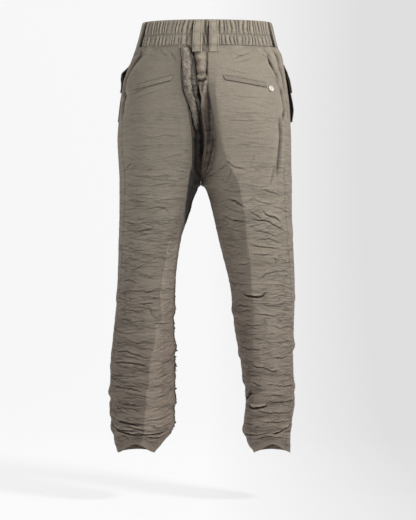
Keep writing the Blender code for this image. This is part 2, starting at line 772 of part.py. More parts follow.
def build():
    for old in list(bpy.data.objects):
        bpy.data.objects.remove(old)
    cloth = material("crinkled_cotton", (0.175, 0.150, 0.118), 0.9)
    black = material("black_facing", (0.008, 0.008, 0.009), 0.85)
    metal = material("nickel", (0.72, 0.70, 0.66), 0.3, 1.0)
    horn = material("horn_button", (0.05, 0.04, 0.03), 0.4)
    for leg in (LEFT, RIGHT):
        leg_panel(f"back_{leg.name}", leg, back_angles, cloth)
        leg_panel(f"front_{leg.name}", leg, front_angles, cloth)
    seat_gusset(cloth)
    raw_edge_strip(cloth)
    waistband_back(cloth)
    gap = math.degrees(SEAM_GAP / 2 / 98)
    side_gap = math.degrees(SEAM_GAP / 137)
    waistband_front("waistband_front_left", BAND_SEAM - side_gap, -90 + gap, cloth)
    waistband_front("waistband_front_right", 180 - BAND_SEAM + side_gap, 270 - gap, cloth)
    for name, bearing, band in (
        ("back_left", 83.5, "gathered"),
        ("back_right", 95.5, "gathered"),
        ("front_left", -52, "plain"),
        ("front_right", 232, "plain"),
    ):
        belt_loop(f"belt_loop_{name}", bearing, band, cloth)
    pocket_welt("welt_left", LEFT, LEFT_WELT, cloth)
    pocket_welt("welt_right", RIGHT, RIGHT_WELT, cloth)
    fly_placket(cloth)
    for leg, pocket in ((LEFT, LEFT_POCKET), (RIGHT, RIGHT_POCKET)):
        cargo_face(f"cargo_face_{leg.name}", leg, pocket, cloth)
        cargo_bellows(f"cargo_bellows_{leg.name}", leg, pocket, black)
        cargo_flap(f"cargo_flap_{leg.name}", leg, pocket, cloth)
    buttons(metal, horn)


build()
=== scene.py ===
"""Cargo trousers of crinkled cotton, held open as if worn.

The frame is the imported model's: metres, up is +Z, the front faces -Y and the wearer's left is
+X. Lengths in the tables are millimetres. A `drop` is measured down from the waistband's top
edge and `across` outwards from the middle of the body. An angle runs round a leg from its outer
side (0) over the back (90) to its inner side (180), and is negative over the front.
"""

import collections
import math

import bmesh
import bpy
import numpy as np
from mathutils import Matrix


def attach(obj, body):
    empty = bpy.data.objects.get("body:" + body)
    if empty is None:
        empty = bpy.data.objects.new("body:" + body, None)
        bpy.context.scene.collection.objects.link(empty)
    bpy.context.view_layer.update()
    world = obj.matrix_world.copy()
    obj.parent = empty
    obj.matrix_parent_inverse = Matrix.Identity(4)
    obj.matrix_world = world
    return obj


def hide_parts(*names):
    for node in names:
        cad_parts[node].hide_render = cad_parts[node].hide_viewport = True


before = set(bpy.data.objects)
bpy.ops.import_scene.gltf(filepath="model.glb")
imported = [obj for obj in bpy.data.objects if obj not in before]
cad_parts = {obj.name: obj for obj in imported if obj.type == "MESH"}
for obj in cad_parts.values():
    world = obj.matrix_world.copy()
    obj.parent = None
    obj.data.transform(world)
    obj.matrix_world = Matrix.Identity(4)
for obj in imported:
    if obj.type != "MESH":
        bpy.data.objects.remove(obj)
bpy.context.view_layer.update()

# ---------------------------------------------------------------- the studio
# A pale seamless floor that curves up into a backdrop, a soft light from the upper right of
# the picture, a weaker one from its left, and a long lens at the photograph's height.

FLOOR_HEIGHT = -1.018
SWEEP_WIDTH, SWEEP_FRONT, SWEEP_BACK, SWEEP_HEIGHT = 9.0, 7.0, -2.2, 4.0


def linear(code):
    """An sRGB hex value as linear red, green, blue and alpha."""
    parts = [int(code[i : i + 2], 16) / 255 for i in (1, 3, 5)]
    return (*(p / 12.92 if p <= 0.04045 else ((p + 0.055) / 1.055) ** 2.4 for p in parts), 1.0)


def add_node(finish, kind, settings=None, inputs=None):
    """A new node with its settings and its inputs, which are values or other nodes' outputs."""
    made = finish.node_tree.nodes.new(kind)
    for name, value in (settings or {}).items():
        setattr(made, name, value)
    for name, value in (inputs or {}).items():
        if isinstance(value, bpy.types.NodeSocket):
            finish.node_tree.links.new(value, made.inputs[name])
        else:
            made.inputs[name].default_value = value
    return made


def new_finish(name, place):
    """An empty material, and the coordinates that its pattern follows."""
    finish = bpy.data.materials.new(name)
    finish.use_nodes = True
    finish.node_tree.nodes.clear()
    return finish, add_node(finish, "ShaderNodeTexCoord").outputs[place]


def surface(finish, roughness, inputs):
    """Gives the material a Principled shader."""
    inputs = {"Roughness": roughness, **inputs}
    shader = add_node(finish, "ShaderNodeBsdfPrincipled", inputs=inputs)
    add_node(finish, "ShaderNodeOutputMaterial", inputs={"Surface": shader.outputs["BSDF"]})


def ramp(finish, value, start, end, low, high, kind="LINEAR"):
    """Runs from low to high while the value goes from start to end."""
    inputs = {0: value, 1: start, 2: end, 3: low, 4: high}
    return add_node(finish, "ShaderNodeMapRange", {"interpolation_type": kind}, inputs).outputs[0]


def mix(finish, amount, first, second, blend="MIX"):
    """Two colours, mixed or blended by this amount."""
    settings = {"data_type": "RGBA", "blend_type": blend}
    return add_node(finish, "ShaderNodeMix", settings, {0: amount, 6: first, 7: second}).outputs[2]


def select_edges(wanted):
    """Selects the backdrop's edges whose ends are all as wanted."""
    bpy.ops.mesh.select_all(action="DESELECT")
    sweep = bmesh.from_edit_mesh(backdrop.data)
    for edge in sweep.edges:
        edge.select = all(wanted(v.co) for v in edge.verts)
    bmesh.update_edit_mesh(backdrop.data)


bpy.ops.object.select_all(action="DESELECT")
bpy.ops.mesh.primitive_plane_add(size=1, location=(0, 0, 0))
backdrop = bpy.context.object
backdrop.name = "backdrop"
for corner in backdrop.data.vertices:
    side = math.copysign(SWEEP_WIDTH / 2, corner.co.x)
    corner.co = (side, SWEEP_FRONT if corner.co.y > 0 else SWEEP_BACK, FLOOR_HEIGHT)
bpy.ops.object.mode_set(mode="EDIT")
bpy.ops.mesh.select_mode(type="EDGE")
select_edges(lambda at: at.y < 0)
bpy.ops.mesh.extrude_region_move(TRANSFORM_OT_translate={"value": (0, 0, SWEEP_HEIGHT)})
select_edges(lambda at: at.y < 0 and at.z < 0)
bpy.ops.mesh.bevel(offset=1.2, segments=16, profile=0.5)
bpy.ops.object.mode_set(mode="OBJECT")
backdrop.data.shade_smooth()

# Painted paper with a faint painted glow, which is greyer towards the right of the picture as
# painted shade
paper, paper_place = new_finish("painted_glow_paper", "Object")
sideways = add_node(paper, "ShaderNodeSeparateXYZ", inputs={0: paper_place}).outputs["X"]
to_right = ramp(paper, sideways, 0.0, -0.5, 0.0, 1.0)
painted_glow = mix(paper, to_right, linear("#f8f8f8"), linear("#d8d7d8"))
glowing = {"Base Color": linear("#6f6f70"), "Emission Color": painted_glow, "Emission Strength": 0.8}
surface(paper, 0.9, glowing)
backdrop.data.materials.append(paper)


def soft_light(name, place, aim, size, watts):
    """A square soft light at `place`, turned to face `aim`."""
    light = bpy.data.lights.new(name, "AREA")
    light.size = size
    light.energy = watts
    lamp = bpy.data.objects.new(name, light)
    bpy.context.scene.collection.objects.link(lamp)
    x, y, z = np.array(place) - np.array(aim)
    lamp.location = place
    lamp.rotation_euler = (math.atan2(math.hypot(x, y), z), 0, math.atan2(y, x) + math.pi / 2)


soft_light("key_light", (-2.4, 2.0, 2.1), (0, 0, -0.35), 0.8, 158)
soft_light("fill_light", (2.7, 1.6, -0.5), (0, 0, -0.6), 2.0, 33)
world = bpy.data.worlds.new("studio_air")
world.use_nodes = True
world.node_tree.nodes["Background"].inputs["Color"].default_value = (1, 1, 1, 1)
world.node_tree.nodes["Background"].inputs["Strength"].default_value = 0.4
bpy.context.scene.world = world
bpy.context.scene.view_settings.view_transform = "Standard"

camera = bpy.data.objects.new("camera", bpy.data.cameras.new("camera"))
camera.data.lens = 145.4
camera.data.sensor_width = 36
camera.location = (-0.0066, 4.6, -0.35)
camera.rotation_euler = (math.radians(90 - 1.745), 0, math.pi)
bpy.context.scene.collection.objects.link(camera)
bpy.context.scene.camera = camera

# ---------------------------------------------------------------- the leg panels
# Two backs and two fronts of a thin plain-weave cotton that was crinkled when it was dyed.
# Each leg was pressed down its back and front, and the lower leg is pushed up into folds.

MM = 0.001
BAND_HEIGHT = 55.0
HEM_DROP = 940.0
CROTCH_DROP = 354.0
ORIGIN_DROP = 27.5
SEAM_GAP = 0.3
CLOTH = 1.0


def table(columns, rows):
    """Rows of values under named columns."""
    row = collections.namedtuple("row", columns)
    return [row(*values) for values in rows]


DEPTHS = table("drop back front rise_seam", [
    (0, 99, -98, 0),
    (55, 105, -104, 0),
    (72, 110, -107, 0),
    (107, 121, -113, 1),
    (146, 130, -118, 2),
    (190, 134, -120, 4),
    (256, 129, -117, 6),
    (318, 118, -111, 8),
    (362, 111, -107, 9),
    (406, 106, -105, 9),
    (476, 94, -103, 9),
    (586, 76, -98, 9),
    (652, 78, -84, 9),
    (740, 87, -66, 9),
    (828, 88, -60, 9),
    (883, 85, -58, 9),
    (916, 80, -56, 9),
    (940, 74, -54, 9),
])

# Each leg seen from behind, as distances across: its sides, where the back panel starts beside
# the gusset, its pressed crease and its side seam. Above the crotch `inner` is beyond the middle,
# where the ring of this leg would close if it went on through the other one.
RING = "drop outer inner edge crease seam"
LEFT_RINGS = table(RING, [
    (0, 136, -146, 56, 75, 128),
    (55, 151, -160, 56, 75, 136),
    (72, 157, -166, 54, 75, 140),
    (107, 169, -154, 53, 72, 160),
    (146, 179, -122, 50, 66, 171),
    (190, 185.5, -80, 37, 56, 176),
    (256, 191, -30, 28, 48, 179),
    (318, 188, -2, 27, 52, 174),
    (342, 187, 6, 10.5, 58, 172),
    (354, 187, 9, 9, 61, 172),
    (358, 187, 14, 9, 61, 172),
    (366, 187, 17, 9, 62, 172),
    (386, 187, 26, 9, 65, 172),
    (406, 187, 31, 9, 68, 173),
    (476, 189, 53, 9, 81, 177),
    (586, 193, 66, 9, 98, 185),
    (652, 198, 69, 9, 110, 191),
    (740, 206, 67, 9, 121, 199),
    (828, 208, 67, 9, 126, 202),
    (883, 204, 71, 9, 131, 198),
    (916, 198, 91, 9, 136, 191),
    (940, 192, 109, 9, 142, 186),
])
RIGHT_RINGS = table(RING, [
    (0, 146, -136, 7, 34, 119),
    (55, 160, -151, 7, 34, 127),
    (72, 168, -157, 7, 34, 132),
    (107, 174, -150, 7, 28, 147),
    (146, 180, -120, 8, 23, 160),
    (190, 185, -80, 13, 26, 169),
    (256, 188, -30, 18, 36, 173),
    (318, 189, -18, 7, 57, 170),
    (342, 190, -12, -7.5, 70, 170),
    (354, 190, -9, -9, 74, 171),
    (358, 190, -2, -9, 75, 171),
    (366, 190, 3, -9, 77, 171),
    (406, 190, 15, -9, 85, 173),
    (476, 193, 31, -9, 92, 178),
    (586, 197, 57, -9, 105, 187),
    (652, 195, 63, -9, 108, 187),
    (740, 193, 77, -9, 107, 185),
    (828, 196, 88, -9, 103.5, 185),
    (883, 188, 83, -9, 101.5, 178),
    (916, 187, 92, -9, 104, 176),
    (940, 188, 108, -9, 114, 176),
])

# How deep the right seat dips from its crease to the gusset's edge
DIPS = [(60, 0), (100, 3), (146, 6), (190, 8), (256, 9), (318, 7), (354, 3), (400, 0)]
RIGHT_DIPS = table("drop depth", DIPS)
NO_DIPS = table("drop depth", [(0, 0), (HEM_DROP, 0)])

# The largest folds of each leg: where its middle is, how far it goes round to each side in
# degrees, how much its outer end is lower than its inner end, and how high and wide it is.
FOLD = "drop angle reach slant height width"
LEFT_FOLDS = table(FOLD, [
    (398, 95, 60, 14, 2.6, 16),
    (436, -70, 70, -16, 3.0, 18),
    (500, 60, 70, -18, 2.6, 16),
    (548, -95, 75, 14, 3.4, 17),
    (582, 105, 60, 6, 3.2, 13),
    (612, 40, 60, -14, 3.4, 14),
    (640, 150, 70, 18, 3.6, 13),
    (664, -80, 80, 10, 3.8, 14),
    (690, 70, 75, -12, 3.8, 13),
    (718, 160, 70, 16, 4.0, 13),
    (730, -60, 85, -12, 3.8, 13),
    (752, 60, 80, 10, 4.0, 12),
    (778, -120, 80, 10, 4.0, 12),
    (786, 90, 85, -10, 4.2, 12),
    (812, 20, 80, 12, 4.2, 12),
    (832, 150, 80, -14, 4.2, 12),
    (842, -60, 85, 8, 4.2, 12),
    (862, 60, 90, -12, 4.8, 12),
    (884, 130, 90, 10, 5.0, 12),
    (892, -40, 95, -8, 4.6, 12),
])
RIGHT_FOLDS = table(FOLD, [
    (372, 60, 55, 16, 3.0, 17),
    (418, 105, 55, 20, 3.0, 16),
    (450, -80, 70, 14, 3.0, 18),
    (470, 45, 60, -16, 3.0, 16),
    (520, 85, 65, -8, 3.0, 16),
    (560, -100, 75, -14, 3.4, 17),
    (584, 115, 55, 4, 4.2, 13),
    (612, 50, 65, -12, 3.4, 13),
    (640, 150, 60, 14, 3.6, 13),
    (662, -70, 80, 12, 3.8, 14),
    (684, 80, 70, 12, 3.6, 13),
    (712, 20, 75, -12, 3.8, 12),
    (728, 145, 70, -10, 4.0, 12),
    (738, -90, 85, 10, 3.8, 12),
    (762, 70, 75, 10, 4.0, 12),
    (790, 140, 75, 12, 4.4, 12),
    (798, -40, 85, -10, 4.0, 12),
    (822, 75, 80, -6, 4.4, 12),
    (848, 100, 80, 6, 4.4, 12),
    (856, -80, 90, 8, 4.4, 12),
    (882, 70, 90, 10, 4.8, 12),
    (900, -150, 80, -8, 4.4, 12),
])

# The creases that show from behind, placed one by one. Each one runs through these angles and
# drops.
CREASE = "height width line"
LEFT_CREASES = table(CREASE, [
    (0.9, 5, [(33, 158), (45, 147), (52, 143)]),
    (0.8, 5, [(39, 167), (54, 157), (66, 151)]),
    (0.6, 4, [(28, 153), (41, 141), (47, 139)]),
    (0.7, 5, [(51, 58), (55, 68), (61, 77)]),
    (0.6, 4, [(60, 62), (66, 78), (70, 91)]),
    (0.7, 5, [(41, 266), (69, 268), (95, 269)]),
    (0.7, 4, [(40, 274), (67, 279), (87, 273)]),
    (0.6, 4, [(42, 283), (58, 294), (68, 292)]),
    (1.6, 5, [(34, 316), (40, 310), (47, 302)]),
    (0.8, 5, [(75, 251), (86, 247), (97, 247)]),
    (0.8, 5, [(59, 319), (78, 320), (97, 319)]),
    (0.9, 5, [(40, 330), (76, 335), (115, 335)]),
    (0.9, 4, [(100, 343), (108, 342), (116, 345)]),
    (0.8, 5, [(35, 353), (77, 354), (114, 350)]),
    (0.8, 5, [(36, 369), (65, 372), (94, 369)]),
    (0.9, 5, [(40, 382), (68, 387), (89, 385)]),
    (1.3, 5, [(72, 402), (94, 399), (107, 403), (120, 418)]),
    (0.9, 5, [(19, 406), (48, 403), (65, 399)]),
    (0.9, 5, [(33, 432), (70, 435), (100, 431)]),
    (0.9, 5, [(16, 447), (62, 453), (106, 446)]),
    (1.0, 5, [(53, 466), (92, 472), (121, 474)]),
    (0.9, 5, [(17, 489), (63, 494), (97, 491)]),
    (1.0, 5, [(49, 509), (88, 519), (120, 520)]),
    (1.0, 5, [(18, 530), (63, 533), (92, 524)]),
    (1.0, 5, [(68, 543), (100, 550), (120, 548)]),
    (1.1, 5, [(14, 563), (58, 557), (85, 565)]),
    (1.3, 5, [(49, 579), (84, 582), (114, 580)]),
    (1.2, 5, [(20, 596), (59, 600), (81, 595)]),
    (2.2, 6, [(84, 610), (97, 607), (110, 606)]),
    (1.4, 5, [(39, 618), (72, 623), (102, 621)]),
    (1.3, 7, [(103, 614), (109, 629), (120, 643)]),
    (1.5, 5, [(113, 578), (131, 576), (174, 578)]),
    (1.4, 5, [(37, 642), (76, 647), (103, 644)]),
    (1.9, 6, [(108, 653), (126, 653), (155, 649)]),
    (1.4, 5, [(20, 667), (63, 673), (85, 668)]),
    (1.5, 5, [(57, 688), (86, 691), (106, 685)]),
    (1.9, 6, [(20, 710), (64, 711), (98, 725), (124, 722)]),
    (1.5, 5, [(111, 705), (131, 697), (160, 689)]),
    (2.4, 6, [(26, 735), (72, 736), (94, 740), (108, 748)]),
    (1.6, 5, [(46, 720), (74, 724), (96, 734)]),
    (1.5, 5, [(114, 743), (131, 736), (169, 728)]),
    (1.5, 5, [(20, 764), (64, 765), (96, 762)]),
    (1.9, 6, [(24, 788), (70, 790), (102, 796)]),
    (1.6, 5, [(104, 796), (123, 786), (164, 775)]),
    (1.4, 5, [(104, 775), (124, 765), (159, 758)]),
    (1.5, 5, [(46, 809), (76, 812), (102, 809)]),
    (1.5, 5, [(105, 820), (124, 810), (155, 800)]),
    (1.8, 6, [(25, 835), (67, 833), (98, 837)]),
    (1.5, 5, [(105, 842), (125, 834), (149, 823)]),
    (4.2, 7, [(28, 852), (48, 862), (72, 868), (94, 872)]),
    (5.0, 7, [(17, 873), (50, 884), (84, 896), (108, 893), (154, 884)]),
    (3.4, 6, [(8, 862), (30, 876), (60, 882), (90, 886)]),
    (3.2, 6, [(96, 905), (122, 903), (150, 895), (170, 886)]),
    (2.4, 5, [(52, 872), (84, 879), (112, 884)]),
    (2.4, 7, [(98, 862), (120, 857), (161, 849)]),
    (2.6, 7, [(58, 895), (85, 890), (108, 893), (135, 900)]),
    (2.2, 6, [(43, 887), (62, 898), (72, 915)]),
    (1.8, 6, [(105, 872), (124, 875), (154, 867)]),
])
RIGHT_CREASES = table(CREASE, [
    (0.9, 5, [(74, 86), (64, 75), (52, 63)]),
    (0.6, 4, [(73, 95), (62, 86), (54, 81)]),
    (0.6, 4, [(46, 63), (39, 80), (31, 99)]),
    (0.7, 4, [(78, 107), (68, 110), (58, 116)]),
    (0.7, 5, [(83, 163), (71, 167), (57, 164)]),
    (0.6, 4, [(68, 177), (57, 185), (48, 187)]),
    (0.6, 4, [(91, 199), (77, 201), (59, 196)]),
    (0.7, 5, [(99, 214), (83, 217), (62, 217)]),
    (0.6, 4, [(96, 239), (79, 241), (55, 239)]),
    (0.7, 4, [(93, 263), (76, 265), (54, 266)]),
    (1.5, 7, [(110, 290), (108, 301), (101, 313), (86, 318)]),
    (0.8, 6, [(79, 284), (82, 299), (85, 316)]),
    (2.0, 7, [(38, 227), (44, 272), (49, 330)]),
    (1.0, 5, [(53, 313), (56, 330), (59, 347)]),
    (1.6, 6, [(75, 360), (63, 368), (46, 373)]),
    (1.2, 5, [(91, 352), (77, 356), (64, 354)]),
    (1.0, 5, [(48, 345), (37, 352), (19, 354)]),
    (1.2, 6, [(130, 325), (140, 330), (149, 335)]),
    (0.9, 6, [(106, 313), (112, 333), (121, 350)]),
    (0.8, 6, [(109, 303), (120, 315), (134, 328)]),
    (1.0, 5, [(130, 358), (115, 365), (98, 367)]),
    (2.4, 6, [(124, 379), (109, 388), (96, 400)]),
    (1.4, 5, [(135, 395), (118, 405), (100, 412)]),
    (2.6, 6, [(144, 416), (117, 428), (97, 434)]),
    (1.2, 5, [(140, 442), (120, 448), (105, 450)]),
    (1.4, 6, [(91, 382), (76, 390), (58, 393)]),
    (2.8, 6, [(76, 402), (71, 414), (56, 422), (43, 434)]),
    (1.6, 5, [(95, 407), (84, 418), (73, 431)]),
    (2.4, 6, [(101, 424), (73, 428), (56, 440), (35, 455)]),
    (1.8, 5, [(95, 448), (75, 455), (53, 466)]),
    (1.6, 5, [(62, 399), (46, 403), (25, 412)]),
    (2.4, 5, [(103, 483), (79, 485), (49, 491)]),
    (1.5, 5, [(93, 468), (73, 469), (43, 477)]),
    (1.6, 5, [(103, 500), (86, 503), (70, 502)]),
    (1.8, 5, [(131, 523), (116, 522), (103, 516)]),
    (1.4, 5, [(146, 479), (125, 485), (109, 483)]),
    (1.3, 5, [(157, 543), (129, 544), (108, 539)]),
    (1.4, 5, [(69, 509), (66, 517), (68, 526)]),
    (2.0, 6, [(101, 557), (83, 545), (67, 538), (38, 535)]),
    (1.5, 5, [(92, 569), (71, 567), (34, 573)]),
    (1.3, 5, [(153, 567), (125, 568), (106, 563)]),
    (5.0, 6, [(132, 584), (118, 591), (104, 593), (84, 586)]),
    (1.6, 5, [(80, 595), (61, 591), (31, 595)]),
    (2.2, 6, [(152, 611), (129, 615), (114, 615)]),
    (1.5, 5, [(138, 629), (124, 624), (112, 625)]),
    (1.5, 5, [(101, 610), (77, 612), (37, 610)]),
    (1.6, 5, [(105, 628), (80, 634), (40, 631)]),
    (1.8, 6, [(123, 656), (106, 654), (93, 651)]),
    (1.4, 5, [(81, 655), (61, 660), (24, 658)]),
    (1.5, 5, [(156, 675), (122, 677), (96, 672)]),
    (1.6, 5, [(94, 689), (67, 692), (29, 690)]),
    (1.6, 5, [(155, 701), (119, 707), (91, 708)]),
    (1.5, 5, [(88, 721), (62, 724), (7, 724)]),
    (2.2, 6, [(131, 735), (106, 743), (90, 749), (57, 756)]),
    (1.6, 5, [(155, 757), (122, 761), (101, 769)]),
    (2.0, 6, [(125, 777), (113, 782), (104, 783)]),
    (1.7, 5, [(98, 781), (69, 786), (3, 788)]),
    (5.0, 7, [(168, 815), (147, 809), (130, 799)]),
    (1.7, 5, [(117, 803), (83, 807), (32, 804)]),
    (5.0, 6, [(143, 828), (126, 834), (110, 832), (97, 826)]),
    (1.8, 5, [(96, 817), (71, 820), (27, 820)]),
    (2.4, 6, [(121, 836), (99, 844), (74, 844), (34, 843)]),
    (2.0, 5, [(122, 860), (83, 864), (25, 864)]),
    (4.2, 7, [(84, 892), (66, 886), (50, 878), (24, 870)]),
    (3.2, 7, [(170, 894), (136, 892), (116, 896), (80, 887)]),
    (2.0, 6, [(120, 906), (88, 907), (41, 901)]),
    (1.8, 5, [(160, 866), (136, 868), (117, 868)]),
])

# Below the thigh the folds throw the pressed crease to and fro: how far across it is seen to be
LEFT_EDGE = table("drop across", [
    (507, 86.5), (577, 98.5), (588, 99.6), (650, 96.4), (655, 106.7), (708, 112), (712, 114.5),
    (741, 120.5), (791, 123), (795, 126), (835, 128.6), (862, 131.4),
])
RIGHT_EDGE = table("drop across", [
    (507, 97.5), (555, 102), (586, 104), (610, 108), (631, 122), (651, 132), (669, 135),
    (686, 128), (700, 118), (770, 122), (800, 121), (808, 109), (835, 107), (890, 105),
])

# Folds that stand on edge down the hips, each through these distances across and drops
SIDE_FOLD = "depth width dark line"
LEFT_HIP = [(137.5, 58), (139, 74), (154, 93), (164, 110), (170.5, 125), (173, 139)]
LEFT_HIP += [(174.5, 154), (172.5, 166), (176, 180), (178, 198), (181, 216)]
LEFT_SIDE_FOLDS = table(SIDE_FOLD, [
    (6.0, 4.6, 0.95, LEFT_HIP),
    (1.2, 2.6, 0.4, [(168, 112), (176, 138), (180, 170), (183, 200)]),
])
RIGHT_SIDE_FOLDS = table(SIDE_FOLD, [
    (3.6, 2.4, 0.85, [(132, 64), (139.5, 91), (149, 108), (157, 122), (159, 133)]),
    (5.0, 3.6, 0.95, [(146, 58), (156, 78), (160, 95), (167, 117), (171.5, 144), (175, 158)]),
    (2.8, 2.2, 0.7, [(153, 70), (158.5, 84), (161, 103)]),
    (3.4, 3.2, 0.8, [(163, 140), (167, 169), (171, 193), (166, 219)]),
    (3.5, 4.4, 0.8, [(160, 205), (162.5, 240), (160, 280), (156.5, 318), (155.5, 340)]),
    (1.5, 1.6, 0.4, [(148, 310), (144, 334), (140, 356)]),
    (1.6, 2.4, 0.45, [(172, 160), (177, 185), (179, 212)]),
])

LEG = "name side rings folds dips edges side_folds creases hidden_creases seed"
LEFT, RIGHT = table(LEG, [
    ("left", 1, LEFT_RINGS, LEFT_FOLDS, NO_DIPS, LEFT_EDGE, LEFT_SIDE_FOLDS)
    + (LEFT_CREASES, RIGHT_CREASES, 11),
    ("right", -1, RIGHT_RINGS, RIGHT_FOLDS, RIGHT_DIPS, RIGHT_EDGE, RIGHT_SIDE_FOLDS)
    + (RIGHT_CREASES, LEFT_CREASES, 29),
])

CREASE_HEIGHT = 5.0
CREASE_SLOPE = 0.26
CREASE_REACH = 50.0
HEM_LIFT, HEM_LIFT_WIDTH, HEM_LIFT_LENGTH = 17.0, 26.0, 60.0
HEM_BACK_LIFT = 9.0
WIDEST = 110.0  # above this half width, creases keep their length round the leg


def along(rows, column, drop):
    """The values of a table's column at these drops, on a smooth curve through its rows."""
    drops = np.array([row[0] for row in rows], float)
    values = np.array([getattr(row, column) for row in rows], float)
    slopes = np.diff(values) / np.diff(drops)
    before, after = slopes[:-1], slopes[1:]
    same_way = before * after > 0
    total = np.where(same_way, before + after, 1.0)
    middle = np.where(same_way, 2 * before * after / total, 0.0)
    tangents = np.concatenate([slopes[:1], middle, slopes[-1:]])
    i = np.clip(np.searchsorted(drops, drop, side="right") - 1, 0, len(slopes) - 1)
    span = np.diff(drops)[i]
    t = np.clip((drop - drops[i]) / span, 0, 1)
    bend = t * t * (3 - 2 * t)
    pull = (1 - t) * tangents[i] - t * tangents[i + 1]
    return values[i] + (values[i + 1] - values[i]) * bend + span * t * (1 - t) * pull


def fade(value, full):
    """0 at a value of 0 or less, and 1 from `full` on, with a soft start and end."""
    t = np.clip(value / full, 0, 1)
    return t * t * (3 - 2 * t)


def bell(distance, width):
    """1 in the middle of a round hump, and almost 0 from two widths on."""
    return np.exp(-((distance / width) ** 2))


def grid(rows, columns):
    """Two runs of values spread over a grid, the first down it and the second along it."""
    return np.broadcast_arrays(np.reshape(rows, (-1, 1)), np.reshape(columns, (1, -1)))


Shape = collections.namedtuple("Shape", "centre width middle back front")


def shape(leg, drop):
    """The leg's ring at these drops: its centre across, half its width, and its depths."""
    outer, inner = along(leg.rings, "outer", drop), along(leg.rings, "inner", drop)
    back, front = along(DEPTHS, "back", drop), along(DEPTHS, "front", drop)
    middle = (back + front) / 2
    return Shape((outer + inner) / 2, (outer - inner) / 2, middle, back - middle, middle - front)


def angle_at(leg, drop, across):
    """The angle on the leg's back at which its ring is this far across."""
    ring = shape(leg, drop)
    return np.degrees(np.arccos(np.clip((across - ring.centre) / ring.width, -1, 1)))


def across_at(leg, drop, angle):
    """How far across the ring is at this angle."""
    ring = shape(leg, drop)
    return ring.centre + ring.width * np.cos(np.radians(angle))


def turned(angle, other):
    """The difference of two angles, from -180 to 180 degrees."""
    return (angle - other + 180) % 360 - 180


def fold_height(leg, drop, angle):
    """How far the large folds push the cloth out: a soft ridge over a narrower trough."""
    height = np.zeros(np.broadcast(drop, angle).shape)
    for fold in leg.folds:
        t = np.clip(turned(angle, fold.angle) / fold.reach, -1, 1)
        below = drop - (fold.drop - fold.slant * t / 2)
        ridge = bell(below + 0.6 * fold.width, fold.width)
        trough = bell(below - 0.5 * fold.width, 0.6 * fold.width)
        height += fold.height * (1 - t * t) ** 2 * (ridge - 0.7 * trough)
    return height


def lattice(seed, rows, columns, x, y):
    """Smooth noise from a grid of random numbers that closes up round the leg."""
    numbers = np.random.default_rng(seed).uniform(-1, 1, (rows + 2, columns))
    y = np.clip(y, 0, 0.9999) * rows
    x = (x % 1.0) * columns
    i, j = np.floor(y).astype(int), np.floor(x).astype(int) % columns
    v, u = y - np.floor(y), x - np.floor(x)
    v, u = v * v * (3 - 2 * v), u * u * (3 - 2 * u)
    k = (j + 1) % columns
    upper = numbers[i, j] * (1 - u) + numbers[i, k] * u
    lower = numbers[i + 1, j] * (1 - u) + numbers[i + 1, k] * u
    return upper * (1 - v) + lower * v


def pressed_crease(leg, drop):
    """The angle of the pressed crease's edge, between its lit side and its darker side."""
    seen = along(leg.edges, "across", drop)
    plain = along(leg.rings, "crease", drop)
    part = fade(drop - 470, 40) * fade(leg.edges[-1].drop + 40 - drop, 40)
    return angle_at(leg, drop, plain + (seen - plain) * part)


def crease_height(leg, drop, angle):
    """How far the pressed creases stand out, with flatter cloth on both sides of them."""
    ring = shape(leg, drop)
    back_crease = angle_at(leg, drop, along(leg.rings, "crease", drop))
    height = 0.0
    for crease in (back_crease, -90.0):
        arc = np.abs(np.radians(turned(angle, crease))) * ring.width
        near = np.minimum(arc, CREASE_REACH)
        slope = CREASE_SLOPE * (near - near**2 / (2 * CREASE_REACH))
        rest = 1 - fade(arc - CREASE_REACH, 0.8 * CREASE_REACH)
        height = height + (CREASE_HEIGHT - slope) * rest
    if leg is RIGHT:
        return height * np.where(angle > 0, fade(drop - 90, 120), fade(drop - 120, 200))
    return height * fade(drop - 120, 200)


def from_line(x, y, line):
    """Signed distances from a line of points, above negative, and the shares along it."""
    best = np.full(x.shape, 1e9)
    signed, share = np.zeros(x.shape), np.zeros(x.shape)
    lengths = [math.dist(a, b) for a, b in zip(line, line[1:])]
    total, done = sum(lengths), 0.0
    for (x0, y0), (x1, y1), length in zip(line, line[1:], lengths):
        ux, uy = (x1 - x0) / length, (y1 - y0) / length
        run = np.clip((x - x0) * ux + (y - y0) * uy, 0, length)
        dx, dy = x - (x0 + ux * run), y - (y0 + uy * run)
        distance = np.hypot(dx, dy)
        side = np.sign(dy) if abs(ux) > 0.5 else np.sign(ux * dy - uy * dx)
        closer = distance < best
        best = np.where(closer, distance, best)
        signed = np.where(closer, distance * side, signed)
        share = np.where(closer, (done + run) / total, share)
        done += length
    return signed, share


def tuck(s, height, width):
    """Across a crease: a slow rise, a steep dark fall into a sharp valley, and a low lip."""
    ridge = np.exp(np.minimum(s, 0) / (1.5 * width)) * np.exp(-np.maximum(s, 0) / (0.5 * width))
    valley = bell(s - 0.75 * width, 0.4 * width)
    return height * (0.8 * ridge - 1.2 * valley + 0.25 * bell(s - 1.9 * width, 0.9 * width))


def wavering(leg, drop, angle):
    """How far a crease strays up or down from the line that it follows."""
    x, y = angle / 360 + 0.5, drop / 1000
    return 2.2 * lattice(leg.seed + 5, 60, 26, x, y) + 1.0 * lattice(leg.seed + 6, 160, 70, x, y)


